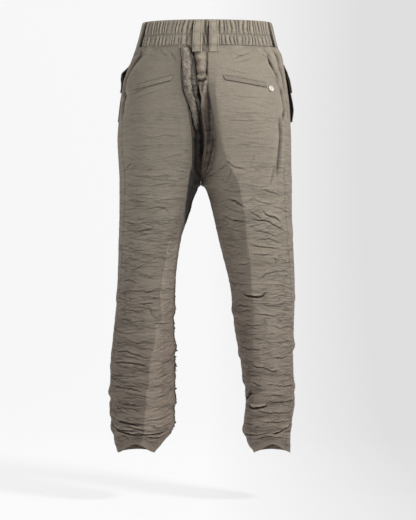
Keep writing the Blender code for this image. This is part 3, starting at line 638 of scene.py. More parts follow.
def hand_creases(leg, drop, angle):
    """The relief of the creases placed one by one and of like ones on the hidden front, and how
    dark the painted shade of the thin line in each one's valley is."""
    height, painted_line_shade = np.zeros(drop.shape), np.zeros(drop.shape)
    waver = wavering(leg, drop, angle)
    lists = ((leg.creases, angle, 0.0), (leg.hidden_creases, -angle, 9.0))
    for creases, seen_angle, lower in lists:
        for size, width, line in creases:
            middle = sum(d for _, d in line) / len(line)
            radius = min(float(shape(leg, middle).width), WIDEST)
            x, y = np.radians(seen_angle) * radius, drop + lower + waver
            path = np.array([(math.radians(a) * radius, d) for a, d in line])
            low, high = path.min(0) - 3.5 * width, path.max(0) + 3.5 * width
            near = (x > low[0]) & (x < high[0]) & (y > low[1]) & (y < high[1])
            if not near.any():
                continue
            rise = abs(path[-1][1] - path[0][1]) / (math.dist(path[0], path[-1]) + 1)
            wide = width * (0.5 + 0.7 * rise**2)
            s, share = from_line(x[near], y[near], path)
            ends = fade(share, 0.3) * fade(1 - share, 0.35)
            deep = max(size - 2.8, 0)
            height[near] += (0.7 + 0.25 * deep) * tuck(s, size, wide) * ends
            thin = bell(s - 0.6 * wide, 1.1 + 0.06 * wide + 0.8 * deep) * np.sqrt(ends)
            painted_line_shade[near] += min(0.03 + 0.12 * size, 0.7) * thin
    return height, painted_line_shade


CRINKLE_ZONES = table("top bottom count heights widths lengths", [
    (62, 240, 260, (0.1, 0.6), (2.2, 3.2), (6, 22)),
    (240, 380, 420, (0.15, 0.9), (2.2, 3.2), (6, 26)),
    (380, 560, 700, (0.2, 1.2), (2.2, 3.4), (6, 28)),
    (560, 740, 700, (0.2, 1.4), (2.2, 3.8), (6, 28)),
    (740, 925, 760, (0.25, 1.6), (2.2, 4.0), (6, 30)),
])


def crinkles(leg):
    """Where the many small creases lie: drop, angle, half length, slope, height and width."""
    dice = np.random.default_rng(leg.seed)
    for zone in CRINKLE_ZONES:
        least, most = zone.heights
        for _ in range(zone.count):
            drop, angle = dice.uniform(zone.top, zone.bottom), dice.uniform(-180, 180)
            slope = dice.normal(0, 0.16)
            if leg is LEFT and drop > 600 and 112 < angle < 180:
                slope += 0.42
            if leg is LEFT and drop > 640 and 0 < angle < 100:
                slope -= 0.14
            if leg is RIGHT and 380 < drop < 470 and 20 < angle < 150:
                slope -= 0.3
            half = dice.uniform(*zone.lengths)
            height = least + (most - least) * dice.uniform() ** 2.2
            yield drop, angle, half, slope, height, dice.uniform(*zone.widths)


def crinkle_height(leg, drop, angle):
    """The relief of all the small creases, and how dark the painted shade of the thin lines in
    them is.
    """
    height, painted_line_shade = np.zeros(drop.shape), np.zeros(drop.shape)
    radius = np.minimum(shape(leg, drop).width, WIDEST)
    flat_drop, flat_angle, flat_radius = drop.ravel(), angle.ravel(), radius.ravel()
    flat_height, flat_painted_shade = height.ravel(), painted_line_shade.ravel()
    flat_waver = wavering(leg, drop, angle).ravel()
    order = np.argsort(flat_drop, kind="stable")
    sorted_drop = flat_drop[order]
    for at, turn, half, slope, size, width in crinkles(leg):
        reach = half * abs(slope) + 3 * width
        first, last = np.searchsorted(sorted_drop, (at - reach, at + reach))
        near = order[first:last]
        x = np.radians(turned(flat_angle[near], turn)) * flat_radius[near]
        inside = np.abs(x) < half
        near, x = near[inside], x[inside]
        s = flat_drop[near] - at + slope * x + flat_waver[near]
        ends = (1 - (x / half) ** 2) ** 1.5
        flat_height[near] += 0.55 * tuck(s, size, width * 0.6) * ends
        flat_painted_shade[near] += (0.03 + 0.15 * size) * bell(s - 0.4 * width, 1.0) * np.sqrt(ends)
    return height, painted_line_shade


def rumple(leg, drop, angle):
    """The finest modelled crinkles, which cover the whole leg and grow towards the hem."""
    x = angle / 360 + 0.5
    y = (drop + 20) / 1000
    wander = 9 * lattice(leg.seed + 1, 30, 9, x, y) + 3 * lattice(leg.seed + 2, 90, 16, x, y)
    chevron = 0.0
    if leg is LEFT:
        chevron = -24 * fade(angle - 108, 60) * fade(drop - 590, 60)
    y = (drop + 20 + wander + chevron) / 1000
    coarse = lattice(leg.seed + 3, 120, 22, x, y)
    fine = lattice(leg.seed + 4, 260, 34, x, y)
    size = np.interp(drop, (60, 200, 350, 560, 700, 940), (0.1, 0.12, 0.2, 0.3, 0.45, 0.55))
    return size * (0.9 * np.abs(coarse) + 0.5 * coarse + 0.55 * fine)


def seam_relief(leg, drop, angle):
    """The groove and the puckers along the side seam and the inseam."""
    radius = shape(leg, drop).width
    side = angle_at(leg, drop, along(leg.rings, "seam", drop))
    pucker = 0.55 * lattice(leg.seed + 7, 130, 3, 0.3 + 0 * drop, (drop + 20) / 1000)
    height = np.zeros(drop.shape)
    for place, start in ((side, BAND_HEIGHT), (180.0, CROTCH_DROP)):
        arc = np.abs(np.radians(turned(angle, place))) * radius
        groove = -0.3 * bell(arc, 1.6) + 0.3 * bell(arc - 5, 3)
        height += (groove + pucker * np.exp(-arc / 9)) * fade(drop - start, 15)
    return height


# Where the left seat folds over the inner thigh: how far across the fold's edge is
OVER_EDGE = table("drop across", [(290, 27), (324, 33), (386, 41), (446, 46)])


def under_fold(leg, drop, angle):
    """How deep in the shade of the left seat's fold this point of the inner thigh is."""
    if leg is RIGHT:
        return 0.0 * drop
    over = along(OVER_EDGE, "across", drop) - across_at(leg, drop, angle)
    return fade(over, 5.0) * (angle > 0) * fade(drop - 296, 30) * fade(452 - drop, 30)


def round_from_side(leg, drop, angle):
    """How far round the hip a point is from the side, in millimetres."""
    ring = shape(leg, drop)
    half = np.radians(angle) / 2
    return 2 * half * np.hypot(ring.width * np.sin(half), ring.back * np.cos(half))


def side_folds(leg, drop, angle):
    """The relief of the folds down the hips, and how much light is left in them."""
    height, light = np.zeros(drop.shape), np.ones(drop.shape)
    near = (angle > 0) & (across_at(leg, drop, angle) > 115) & (drop < 370)
    x, y = round_from_side(leg, drop, angle)[near], drop[near]
    for depth, width, dark, line in leg.side_folds:
        path = [(float(round_from_side(leg, d, angle_at(leg, d, a))), d) for a, d in line]
        s, share = from_line(x, y, path)
        ends = fade(share, 0.2) * fade(1 - share, 0.25)
        banks = bell(np.abs(s) - 3.2 * width, 1.8 * width)
        height[near] += depth * (0.45 * banks - bell(s, 1.35 * width)) * ends
        light[near] *= 1 - 0.9 * dark * bell(s, width) * np.sqrt(ends)
    return height, light


def relief(leg, drop, angle):
    """All that stands out of the plain ring, the small creases alone, and the painted shade of
    their dark lines.
    """
    placed, placed_painted_shade = hand_creases(leg, drop, angle)
    scattered, scattered_painted_shade = crinkle_height(leg, drop, angle)
    small = placed + scattered + rumple(leg, drop, angle) + seam_relief(leg, drop, angle)
    small = small + side_folds(leg, drop, angle)[0] - 3.0 * under_fold(leg, drop, angle)
    total = small + crease_height(leg, drop, angle) + fold_height(leg, drop, angle)
    edge, rise = along(leg.rings, "edge", drop), along(DEPTHS, "rise_seam", drop)
    inside = across_at(leg, drop, angle) - np.where(angle > 0, edge, leg.side * rise)
    upper, below_band = drop < CROTCH_DROP + 12, drop - BAND_HEIGHT
    kept = np.where(upper, fade(inside, 22) * fade(below_band, 60), 1.0)
    small_kept = np.where(upper, fade(inside, 8) * fade(below_band, 8), 1.0)
    dark = (placed_painted_shade + scattered_painted_shade) * small_kept
    return (total - small) * kept + small * small_kept, small * small_kept, dark


def dip(leg, drop, across):
    """How far the seat has dipped here, from its crease to the gusset."""
    crease = along(leg.rings, "crease", drop)
    edge = along(leg.rings, "edge", drop)
    share = np.clip((crease - across) / (crease - edge), 0.0, 1.0)
    return along(leg.dips, "depth", drop) * share**1.2


def plain_skin(leg, drop, angle, out=0.0):
    """Points of the leg's form, in metres, moved `out` along the ring's own normal."""
    drop, angle = np.broadcast_arrays(np.asarray(drop, float), np.asarray(angle, float))
    ring = shape(leg, drop)
    turn = np.radians(angle)
    depth = np.where(angle > 0, ring.back, ring.front)
    across = ring.centre + ring.width * np.cos(turn)
    ahead = ring.middle + depth * np.sin(turn)
    normal_across, normal_ahead = np.cos(turn) / ring.width, np.sin(turn) / depth
    length = np.hypot(normal_across, normal_ahead)
    stands = out - np.where(angle > 0, dip(leg, drop, across), 0.0)
    across = across + stands * normal_across / length
    ahead = ahead + stands * normal_ahead / length
    from_heel = np.radians(np.abs(turned(angle, 90))) * ring.width
    lift = HEM_LIFT * bell(from_heel, HEM_LIFT_WIDTH) + HEM_BACK_LIFT * np.maximum(np.sin(turn), 0)
    lift = lift * fade(drop - (HEM_DROP - HEM_LIFT_LENGTH), HEM_LIFT_LENGTH)
    return np.stack([leg.side * across, ahead, ORIGIN_DROP - drop + lift], -1) * MM


def skin(leg, drop, angle, out):
    """Points of the creased leg, in metres, moved `out`."""
    drop, angle = np.broadcast_arrays(np.asarray(drop, float), np.asarray(angle, float))
    return plain_skin(leg, drop, angle, out + relief(leg, drop, angle)[0])


def lay(form, leg, drop, angle, out=0.0):
    """Points this far out of one of a leg's forms, and the steps of 1 mm outwards from them."""
    away = plain_skin(leg, drop, angle, 1.0) - plain_skin(leg, drop, angle)
    return form(leg, drop, angle, out), away


def seam_turn(leg, drop, angle, gap=SEAM_GAP / 2):
    """The turn in degrees that moves a point of the ring by `gap` along it."""
    ring = shape(leg, drop)
    turn = np.radians(angle)
    depth = np.where(np.asarray(angle) > 0, ring.back, ring.front)
    return np.degrees(gap / np.hypot(ring.width * np.sin(turn), depth * np.cos(turn)))


# Cotton dyed in the piece: matt, greyish brown, with painted highlights where a crease stands up
# and painted shade in its creases, browner and darker towards the hems and seams (partly its own
# colour, partly painted shade), and with fine threads and fine crinkles in its weave
cotton, cotton_place = new_finish("crinkled_cotton", "UV")


def noise(finish, place, scale, detail, roughness=0.5):
    """Noise with this many features to a metre."""
    inputs = {"Vector": place, "Scale": scale, "Detail": detail, "Roughness": roughness}
    return add_node(finish, "ShaderNodeTexNoise", inputs=inputs).outputs["Fac"]


def stretched_noise(finish, place, along_cloth, down_cloth, detail):
    """Noise on the cloth's own metres, with these many features to a metre each way."""
    inputs = {"Vector": place, "Scale": (along_cloth, down_cloth, 1.0)}
    spread = add_node(finish, "ShaderNodeMapping", inputs=inputs).outputs[0]
    return noise(finish, spread, 1.0, detail, 0.6)


def stored(finish, name):
    """A value that the mesh holds at each of its points."""
    return add_node(finish, "ShaderNodeAttribute", {"attribute_name": name}).outputs["Fac"]


def times(finish, tone, amount, low, high):
    """The tone, multiplied by a grey that runs from low to high as `amount` goes from 0 to 1."""
    return mix(finish, 1.0, tone, ramp(finish, amount, 0.0, 1.0, low, high), "MULTIPLY")


def bump(finish, height, distance, strength=1.0, under=None):
    """The normal of a bump this many millimetres high, added to the one under it."""
    inputs = {"Strength": strength, "Distance": distance * MM, "Height": height}
    if under is not None:
        inputs["Normal"] = under
    return add_node(finish, "ShaderNodeBump", inputs=inputs).outputs[0]


def calculated(operation, first, second=0.0):
    """The cotton's own sums."""
    inputs = {0: first, 1: second}
    return add_node(cotton, "ShaderNodeMath", {"operation": operation}, inputs).outputs[0]


# How creased the cloth is at each place, and so how much painted shade its thin creases get:
# hardly at all at the waist, fully below the knee
down_cloth = add_node(cotton, "ShaderNodeSeparateXYZ", inputs={"Vector": cotton_place}).outputs[1]
coming = stretched_noise(cotton, cotton_place, 9, 26, 1.0)
lower = ramp(cotton, down_cloth, 0.1, 0.5, 0.2, 1.0)
creased = calculated("MULTIPLY", lower, ramp(cotton, coming, 0.36, 0.6, 0.15, 1.0))


def branching_creases(along_cloth, down_cloth, detail, wide):
    """Thin branching creases, where a noise passes its middle: 1 off them and less in them, used
    as a bump and to paint shade into them.
    """
    pattern = stretched_noise(cotton, cotton_place, along_cloth, down_cloth, detail)
    size = calculated("ABSOLUTE", calculated("SUBTRACT", pattern, 0.5))
    line = ramp(cotton, size, 0.0, wide, 0.0, 1.0, "SMOOTHSTEP")
    return add_node(cotton, "ShaderNodeMix", inputs={0: creased, 2: 1.0, 3: line}).outputs[0]


# Slubs and threads are drawn about six times as coarse as the real ones, so that they show
warp_threads = stretched_noise(cotton, cotton_place, 340, 60, 1.0)
long_creases = branching_creases(15, 85, 1.5, 0.05)
# Browner and darker where the mesh holds more of it: partly the cloth's own colour, partly painted
# shade
tone = mix(cotton, stored(cotton, "brown_and_painted_shade"), linear("#8b8274"), linear("#75685d"))
tone = times(cotton, tone, stretched_noise(cotton, cotton_place, 16, 22, 2.0), 0.93, 1.07)
tone = times(cotton, tone, stretched_noise(cotton, cotton_place, 75, 330, 2.0), 0.9, 1.1)
tone = times(cotton, tone, warp_threads, 0.88, 1.12)
tone = times(cotton, tone, stretched_noise(cotton, cotton_place, 330, 360, 2.0), 0.82, 1.18)
# Painted shade in the thin branching creases
tone = times(cotton, tone, long_creases, 0.7, 1.02)
tone = times(cotton, tone, branching_creases(40, 190, 1.0, 0.06), 0.8, 1.02)
# Painted light and shade that each mesh holds: painted highlights on ridges, painted shade in
# creases, folds and slits
tone = times(cotton, tone, stored(cotton, "tone_and_painted_shading"), 0.06, 1.39)
relief_bump = bump(cotton, long_creases, 0.8)
relief_bump = bump(
    cotton, stretched_noise(cotton, cotton_place, 60, 260, 4.0), 1.0, under=relief_bump
)
relief_bump = bump(cotton, warp_threads, 0.15, 0.6, relief_bump)
sheen = {"Sheen Weight": 0.05, "Sheen Tint": linear("#a39683")}
surface(cotton, 0.92, {"Base Color": tone, "Normal": relief_bump, **sheen})


def cut_of(points):
    """The flat cut of a grid of cloth: its widest row, its longest column and its area."""
    over, down = np.diff(points, axis=1), np.diff(points, axis=0)
    width = float(np.linalg.norm(over, axis=2).sum(1).max())
    length = float(np.linalg.norm(down, axis=2).sum(0).max())
    cells = np.linalg.norm(np.cross(over[:-1], down[:, :-1]), axis=2).sum() / 2
    cells += np.linalg.norm(np.cross(over[1:], down[:, 1:]), axis=2).sum() / 2
    return (max(width, 0.0101), length), float(min(cells, width * length))


def cloth(
    name, laid, across, down, finish=cotton, thick=CLOTH, brown_and_painted_shade=0.0, tone_and_painted_shading=0.5
):
    """A thin shell on a grid of points, whose flat cut is measured. `laid` is
    the grid and its steps outwards, and `across` and `down` are the places on the flat cloth in
    millimetres, which its pattern follows. It replaces the solid that it is named after."""
    points, away = laid
    size = points.shape[:2]
    index = np.arange(size[0] * size[1]).reshape(size)
    a, b = index[:-1, :-1].ravel(), index[1:, :-1].ravel()
    c, d = index[1:, 1:].ravel(), index[:-1, 1:].ravel()
    flat = points.reshape(-1, 3)
    facing = (np.cross(flat[b] - flat[a], flat[d] - flat[a]) * away.reshape(-1, 3)[a]).sum()
    faces = np.stack([a, b, c, d] if facing > 0 else [a, d, c, b], 1)
    mesh = bpy.data.meshes.new(name)
    mesh.from_pydata(flat.tolist(), [], faces.tolist())
    uv = np.stack([np.broadcast_to(across, size), np.broadcast_to(down, size)], -1)
    uv = uv.reshape(-1, 2)[faces.ravel()] * MM
    layer = mesh.uv_layers.new(name="cloth")
    layer.data.foreach_set("uv", uv.astype(np.float32).ravel())
    # The values that the finishes read: a browner, darker tone that is partly painted shade, and
    # the tone with its painted light and shade
    for kind, values in (("brown_and_painted_shade", brown_and_painted_shade), ("tone_and_painted_shading", tone_and_painted_shading)):
        values = np.broadcast_to(values, size).astype(np.float32)
        mesh.attributes.new(kind, "FLOAT", "POINT").data.foreach_set("value", values.ravel())
    mesh.materials.append(finish)
    mesh.shade_smooth()
    made = bpy.data.objects.new(name, mesh)
    bpy.context.collection.objects.link(made)
    shell = made.modifiers.new("cloth_thickness", "SOLIDIFY")
    shell.thickness = thick * MM
    shell.offset = -1
    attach(made, "root")
    flat_size, area = cut_of(points)
    node = name.removesuffix("_cloth")
    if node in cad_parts:
        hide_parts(node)


def painted_shading_of(small):
    """Painted light and shade from the small creases' relief: 0 (painted shade) in a valley, 0.5
    on plain cloth and 1 (painted highlight) on a ridge.
    """
    return np.clip(0.5 + small / 4.0, 0.0, 1.0)


LINE_ROWS = 11
CREASE_EDGE = 0.35


def painted_panel_shading(leg, drop, angle, small, dark):
    """A panel's painted light and shade: thin painted dark lines in its creases, and its pressed
    crease's lit and shaded sides.
    """
    # Painted highlights on the small creases' ridges, painted shade in their valleys, and their
    # thin painted dark lines
    padded = np.pad(small, ((LINE_ROWS // 2, LINE_ROWS // 2), (0, 0)), mode="edge")
    total = np.cumsum(np.pad(padded, ((1, 0), (0, 0))), axis=0)
    local = (total[LINE_ROWS:] - total[:-LINE_ROWS]) / LINE_ROWS
    tone = 0.54 + 0.04 * small + 0.12 * (small - local) - dark
    # Where the pressed crease's one side is painted lit and the other painted shaded
    facet = fade(angle - pressed_crease(leg, drop) + CREASE_EDGE, 2 * CREASE_EDGE)
    facet = facet * (1 - fade(angle - 150, 25)) * (angle > 0)
    from_edge = across_at(leg, drop, angle) - along(leg.rings, "edge", drop)
    # The left leg is painted darker, its inner side painted lit lower down, with painted shade
    # beside the gusset; the right leg is painted lighter, its inner side painted shaded, with
    # painted shade on the seat beside the gusset
    if leg is LEFT:
        tone = tone + 0.2 * facet * fade(drop - 440, 60) - 0.02 * fade(drop - 320, 60) - 0.035
        painted_gusset_shade = np.exp(-np.maximum(from_edge, 0) / 22)
        tone = tone - 0.2 * painted_gusset_shade * (1 - fade(drop - 500, 150))
    else:
        tone = tone - 0.1 * facet * fade(drop - 220, 100) + 0.05 + 0.03 * fade(drop - 420, 150)
        shaded = fade(drop - 150, 60) * (1 - fade(drop - 290, 60))
        tone = tone - 0.2 * bell(from_edge * (angle > 0), 9) * shaded
    tone = tone + 0.01 * fade(drop - 200, 300)
    # Painted light and shade on the puckers just under the band
    puckers = lattice(leg.seed + 9, 5, 80, angle / 360 + 0.5, (drop - 55) / 40)
    tone = tone + 0.2 * puckers * np.exp(-np.maximum(drop - BAND_HEIGHT, 0) / 9)
    return np.clip(tone, 0, 1)


def brown_and_painted_shade_of(drop, angle):
    """How much browner and darker the cloth is, towards the hem, the seams and the inner side:
    partly its own browner colour, partly painted shade.
    """
    side = 0.5 * np.exp(-np.abs(turned(angle, 12)) / 14) + 0.7 * fade(angle - 110, 40)
    return np.clip(fade(drop - 330, 520) * 0.75 + 0.5 * side, 0, 1)


def panel_edges(leg, drop):
    """The angles at which a leg's back panel starts and ends, and its front panel."""
    side = angle_at(leg, drop, along(leg.rings, "seam", drop))
    gap = seam_turn(leg, drop, side)
    inseam = 180.0 - seam_turn(leg, drop, 180.0)
    by_gusset = angle_at(leg, drop, along(leg.rings, "edge", drop) + SEAM_GAP / 2)
    rise = leg.side * along(DEPTHS, "rise_seam", drop) + SEAM_GAP / 2
    inner_back, inner_front = (
        np.where(drop <= CROTCH_DROP, np.minimum(inseam, edge), inseam)
        for edge in (by_gusset, angle_at(leg, drop, rise))
    )
    return (inner_back, side + gap), (side - gap, -inner_front)


PANEL_DROPS = np.concatenate(
    [np.arange(BAND_HEIGHT + SEAM_GAP, 560, 1.45), np.linspace(560, HEM_DROP, 330)]
)
BACK_COLUMNS = (25, 37)  # inside and outside the pressed crease
FRONT_COLUMNS = 50


def spread(first, last, count):
    """Columns of angles from one edge to the other."""
    return first[:, None] + (last - first)[:, None] * np.linspace(0, 1, count)[None, :]


def leg_panel(node, leg, angle):
    """One panel of a leg."""
    drop = np.broadcast_to(PANEL_DROPS[:, None], angle.shape)
    total, small, dark = relief(leg, drop, angle)
    shade = (1 - 0.86 * under_fold(leg, drop, angle)) * side_folds(leg, drop, angle)[1]
    cloth(
        f"{node}_cloth",
        lay(plain_skin, leg, drop, angle, total),
        np.radians(angle) * np.mean(shape(leg, PANEL_DROPS).width),
        drop,
        brown_and_painted_shade=brown_and_painted_shade_of(drop, angle),
        tone_and_painted_shading=painted_panel_shading(leg, drop, angle, small, dark) * shade,
    )


for leg in (LEFT, RIGHT):
    (inner, outer), front = panel_edges(leg, PANEL_DROPS)
    pressed = pressed_crease(leg, PANEL_DROPS)
    inside = spread(inner, pressed + CREASE_EDGE, BACK_COLUMNS[0])
    outside = spread(pressed - CREASE_EDGE, outer, BACK_COLUMNS[1])
    leg_panel(f"back_{leg.name}", leg, np.concatenate([inside, outside], 1))
    leg_panel(f"front_{leg.name}", leg, spread(*front, FRONT_COLUMNS))

# ---------------------------------------------------------------- stitching
# Runs of topstitching in a slightly browner cotton thread, each stitch a small raised capsule.

THREAD_WIDTH = 0.85  # twice a real thread, so that it shows
STITCH_STEP = 3.4
STITCH_LENGTH = 2.5
STITCH_RISE = 0.15
THREAD_SIDES = 5
STITCH_RINGS = np.array([(-0.5, 0.25), (-0.38, 0.9), (0.38, 0.9), (0.5, 0.25)])

thread, thread_place = new_finish("cotton_thread", "Object")
ply = noise(thread, thread_place, 700.0, 1.0)
thread_tone = times(thread, linear("#84796c"), ply, 0.8, 1.15)
surface(thread, 0.75, {"Base Color": thread_tone, "Sheen Weight": 0.1})


def unit(vectors):
    """The vectors, each with a length of 1."""
    return vectors / np.linalg.norm(vectors, axis=-1)[..., None]


def stitch_points(line, away):
    """The points of the stitches along one run: by stitch, by ring, and round the thread."""
    steps = np.linalg.norm(np.diff(line, axis=0), axis=1)
    run = np.concatenate([[0], np.cumsum(steps)]) / MM
    count = max(int(run[-1] / STITCH_STEP), 1)
    middles = (np.arange(count) + 0.5) * run[-1] / count

    def at(places, values):
        return np.stack([np.interp(places, run, values[:, k]) for k in range(3)], 1)

    tangent = unit(at(middles + 1, line) - at(middles - 1, line))
    away = at(middles, away)
    away = unit(away - (away * tangent).sum(1)[:, None] * tangent)
    side = np.cross(tangent, away)
    centre, tangent, away, side = (
        part[:, None, None] for part in (at(middles, line), tangent, away, side)
    )
    turns = (np.arange(THREAD_SIDES) * 2 * math.pi / THREAD_SIDES)[:, None]
    place, width = (column[:, None, None] for column in STITCH_RINGS.T)
    rim = (np.cos(turns) * away + np.sin(turns) * side) * width * THREAD_WIDTH / 2 * MM
    return centre + away * STITCH_RISE * MM + tangent * place * STITCH_LENGTH * MM + rim


def stitches(name, runs):
    """One mesh of stitches along each run, which is its points and their steps outwards."""
    points = np.concatenate([stitch_points(*run).reshape(-1, 3) for run in runs])
    each = len(STITCH_RINGS) * THREAD_SIDES
    faces = []
    for start in range(0, len(points), each):
        for ring in range(start, start + each - THREAD_SIDES, THREAD_SIDES):
            for k in range(THREAD_SIDES):
                a, b = ring + k, ring + (k + 1) % THREAD_SIDES
                faces.append((a, b, b + THREAD_SIDES, a + THREAD_SIDES))
        faces.append(tuple(range(start + THREAD_SIDES - 1, start - 1, -1)))
        faces.append(tuple(range(start + each - THREAD_SIDES, start + each)))
    mesh = bpy.data.meshes.new(name)
    mesh.from_pydata(points.tolist(), [], faces)
    shell = bmesh.new()
    shell.from_mesh(mesh)
    bmesh.ops.recalc_face_normals(shell, faces=shell.faces)
    shell.to_mesh(mesh)
    shell.free()
    mesh.materials.append(thread)
    mesh.shade_smooth()
    made = bpy.data.objects.new(name, mesh)
    bpy.context.collection.objects.link(made)
    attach(made, "root")


# ---------------------------------------------------------------- the seat gusset
# A narrow panel let in between the two backs, crumpled and sunk between the seat's halves, with
# a strip of raw-edged cotton sewn along its left half and left to fray.

SUNK = table("share sunk", [
    (0, 0),
    (0.12, 0.8),
    (0.25, 1.0),
    (0.38, 1.15),
    (0.48, 0.85),
    (0.57, 0.95),
    (0.72, 0.55),
    (0.86, 0.25),
    (1, 0),
])
SINKS = table("drop depth", [
    (55, 0), (107, 10), (146, 16), (190, 24), (256, 30), (318, 22), (350, 3),
])
GUSSET_WIDTH = 60.0  # about its width in the middle, to which its folds' shares are scaled
GUSSET_END = 346.0
GUSSET_STEP = 1.6
STRIP_START, STRIP_END = 60.0, 236.0
STRIP_STEP = 1.2
STRIP_CLOTH = 1.4
LAID_ON = 0.6


def gusset_point(drop, share, out):
    """Points of the gusset moved `out`, at shares from its left edge to its right one."""
    left, right = (
        plain_skin(leg, drop, angle_at(leg, drop, along(leg.rings, "edge", drop) - SEAM_GAP / 2))
        for leg in (LEFT, RIGHT)
    )
    depth = along(SINKS, "depth", drop) * MM

    def section(at):
        flat = left + (right - left) * at[..., None]
        flat[..., 1] -= depth * along(SUNK, "sunk", at)
        return flat

    run = section(np.clip(share + 0.01, 0, 1)) - section(np.clip(share - 0.01, 0, 1))
    normal = unit(np.stack([run[..., 1], -run[..., 0], 0 * run[..., 0]], -1))
    return section(share) + normal * np.broadcast_to(out, drop.shape)[..., None] * MM


GUSSET_FOLDS = table("height width line", [
    # where each fold or valley runs, as shares across and drops
    (-4, 3.0, [(0.44, 62), (0.53, 97), (0.58, 127)]),
    (-5, 3.0, [(0.99, 66), (0.97, 99), (0.93, 118), (0.82, 127)]),
    (3, 8.0, [(0.78, 66), (0.78, 95), (0.77, 116)]),
    (4, 2.6, [(0.58, 121), (0.76, 126), (0.95, 116)]),
    (-5, 2.6, [(0.58, 130), (0.76, 133), (0.95, 126)]),
    (1.6, 2.4, [(0.60, 76), (0.74, 84), (0.95, 80)]),
    (1.4, 2.4, [(0.66, 98), (0.80, 92), (0.95, 98)]),
    (5.5, 2.6, [(0.67, 136), (0.73, 165), (0.63, 193), (0.56, 225), (0.53, 275), (0.6, 310)]),
    (5, 2.4, [(0.92, 131), (0.84, 150), (0.76, 166)]),
    (-10, 3.4, [(0.59, 133), (0.55, 161), (0.47, 193), (0.43, 236), (0.42, 279), (0.5, 330)]),
    (-3, 4.0, [(0.27, 225), (0.2, 250), (0.17, 279), (0.26, 325)]),
    (-3.5, 3.4, [(0.97, 134), (0.91, 172), (0.8, 204), (0.71, 240), (0.68, 275)]),
    (-3, 4.0, [(0.86, 240), (0.8, 290), (0.7, 335)]),
])


def gusset_relief(drop, share):
    """The folds, the deep valleys and the crumpling of the gusset."""
    height = np.zeros(drop.shape)
    for fold in GUSSET_FOLDS:
        path = [(a * GUSSET_WIDTH, d) for a, d in fold.line]
        s, along_it = from_line(share * GUSSET_WIDTH, drop, path)
        ends = fade(along_it, 0.12) * fade(1 - along_it, 0.2)
        height += fold.height * bell(s, fold.width) * ends
    height += 1.3 * lattice(51, 34, 6, share * 0.5, drop / 400)
    height += 0.8 * lattice(52, 90, 12, share * 0.5, drop / 400)
    kept = fade(share, 0.08) * fade(1 - share, 0.08) * fade(drop - BAND_HEIGHT, 10)
    return height * kept * fade(GUSSET_END - drop, 10)


def painted_shade_of_gusset(drop, share):
    """The gusset's painted shade, as how much paler than black it is: painted darker down between
    the seat's halves, with a painted dark line along its left edge.
    """
    drops = (60, 130, 190, 240, 300, 340)
    left = np.interp(drop, drops, (1.0, 0.9, 0.75, 0.5, 0.38, 0.3))
    right = np.interp(drop, drops, (1.0, 0.95, 0.8, 0.8, 0.95, 0.8))
    slope = left + (right - left) * fade(share - 0.46, 0.12)
    edge = 1 - 0.85 * bell(share, 0.05) * fade(drop - 70, 40)
    return slope * edge * (1 - 0.3 * fade(0.5 - share, 0.3) * fade(drop - 190, 60))


def on_gusset(name, drop, share, out, tone_and_painted_shading, finish=cotton):
    """The gusset's cloth, or a piece of cloth laid this far out of it."""
    points = gusset_point(drop, share, out)
    cloth(
        name,
        (points, gusset_point(drop, share, out + 1.0) - points),
        share * GUSSET_WIDTH,
        drop,
        finish,
        # Browner and darker downwards: partly its own colour, partly painted shade
        brown_and_painted_shade=np.interp(drop, (60, 200), (0.2, 1.0)),
        tone_and_painted_shading=tone_and_painted_shading,
    )


drop, share = grid(
    np.arange(BAND_HEIGHT + SEAM_GAP, GUSSET_END, GUSSET_STEP), np.linspace(0, 1, 64)
)
small = gusset_relief(drop, share)
# Painted light and shade from the gusset's folds and valleys, times its painted shade
tone_and_painted_shading = np.clip(0.5 + small / 9.0, 0.03, 1) * painted_shade_of_gusset(drop, share)
on_gusset("seat_gusset_cloth", drop, share, small, tone_and_painted_shading)

# The strip's cotton, paler and darker in flecks that also bump it: painted light and shade of its
# crumples
raw_cotton, raw_place = new_finish("raw_edged_cotton", "UV")
flecks = stretched_noise(raw_cotton, raw_place, 260, 200, 4.0)
raw_tone = times(raw_cotton, linear("#8a8074"), flecks, -0.25, 1.75)
# Painted light and shade that the strip's mesh holds
raw_tone = times(raw_cotton, raw_tone, stored(raw_cotton, "tone_and_painted_shading"), 0.1, 1.5)
surface(raw_cotton, 0.95, {"Base Color": raw_tone, "Normal": bump(raw_cotton, flecks, 1.6)})
STRIP_EDGES = table("drop left right", [
    (60, 0.03, 0.42),
    (91, 0.04, 0.5),
    (112, 0.04, 0.55),
    (159, 0.03, 0.56),
    (191, 0.05, 0.49),
    (206, 0.07, 0.44),
    (219, 0.08, 0.37),
    (236, 0.12, 0.27),
])
drop, turn = grid(np.arange(STRIP_START, STRIP_END, STRIP_STEP), np.linspace(0, 1, 44))
left = along(STRIP_EDGES, "left", drop) + 0.008 * lattice(61, 60, 3, 0 * drop, drop / 400)
right = along(STRIP_EDGES, "right", drop) + 0.016 * lattice(64, 90, 3, 0 * drop, drop / 400)
share = left + (right - left) * turn
pucker = 1.5 * lattice(62, 44, 9, share, drop / 400)
pucker = pucker + 0.9 * lattice(63, 110, 22, share, drop / 400) + 2.2 * bell(turn - 0.45, 0.3)
# Painted highlights on the strip's puckers, painted shade along both its edges, and painted darker
# down into the gusset's valley
tone_and_painted_shading = 0.5 + pucker / 7 - 0.35 * bell(turn, 0.12) - 0.4 * bell(turn - 1.0, 0.2)
tone_and_painted_shading = tone_and_painted_shading * np.interp(drop, (60, 110, 190, 236), (0.95, 0.8, 0.55, 0.25))
small = gusset_relief(drop, share)
out = small + (LAID_ON + STRIP_CLOTH + pucker - np.minimum(small, 0))
tone_and_painted_shading = np.clip(tone_and_painted_shading, 0, 1)
strip = "raw_edge_strip_cloth"
on_gusset(strip, drop, share, out, tone_and_painted_shading, raw_cotton)

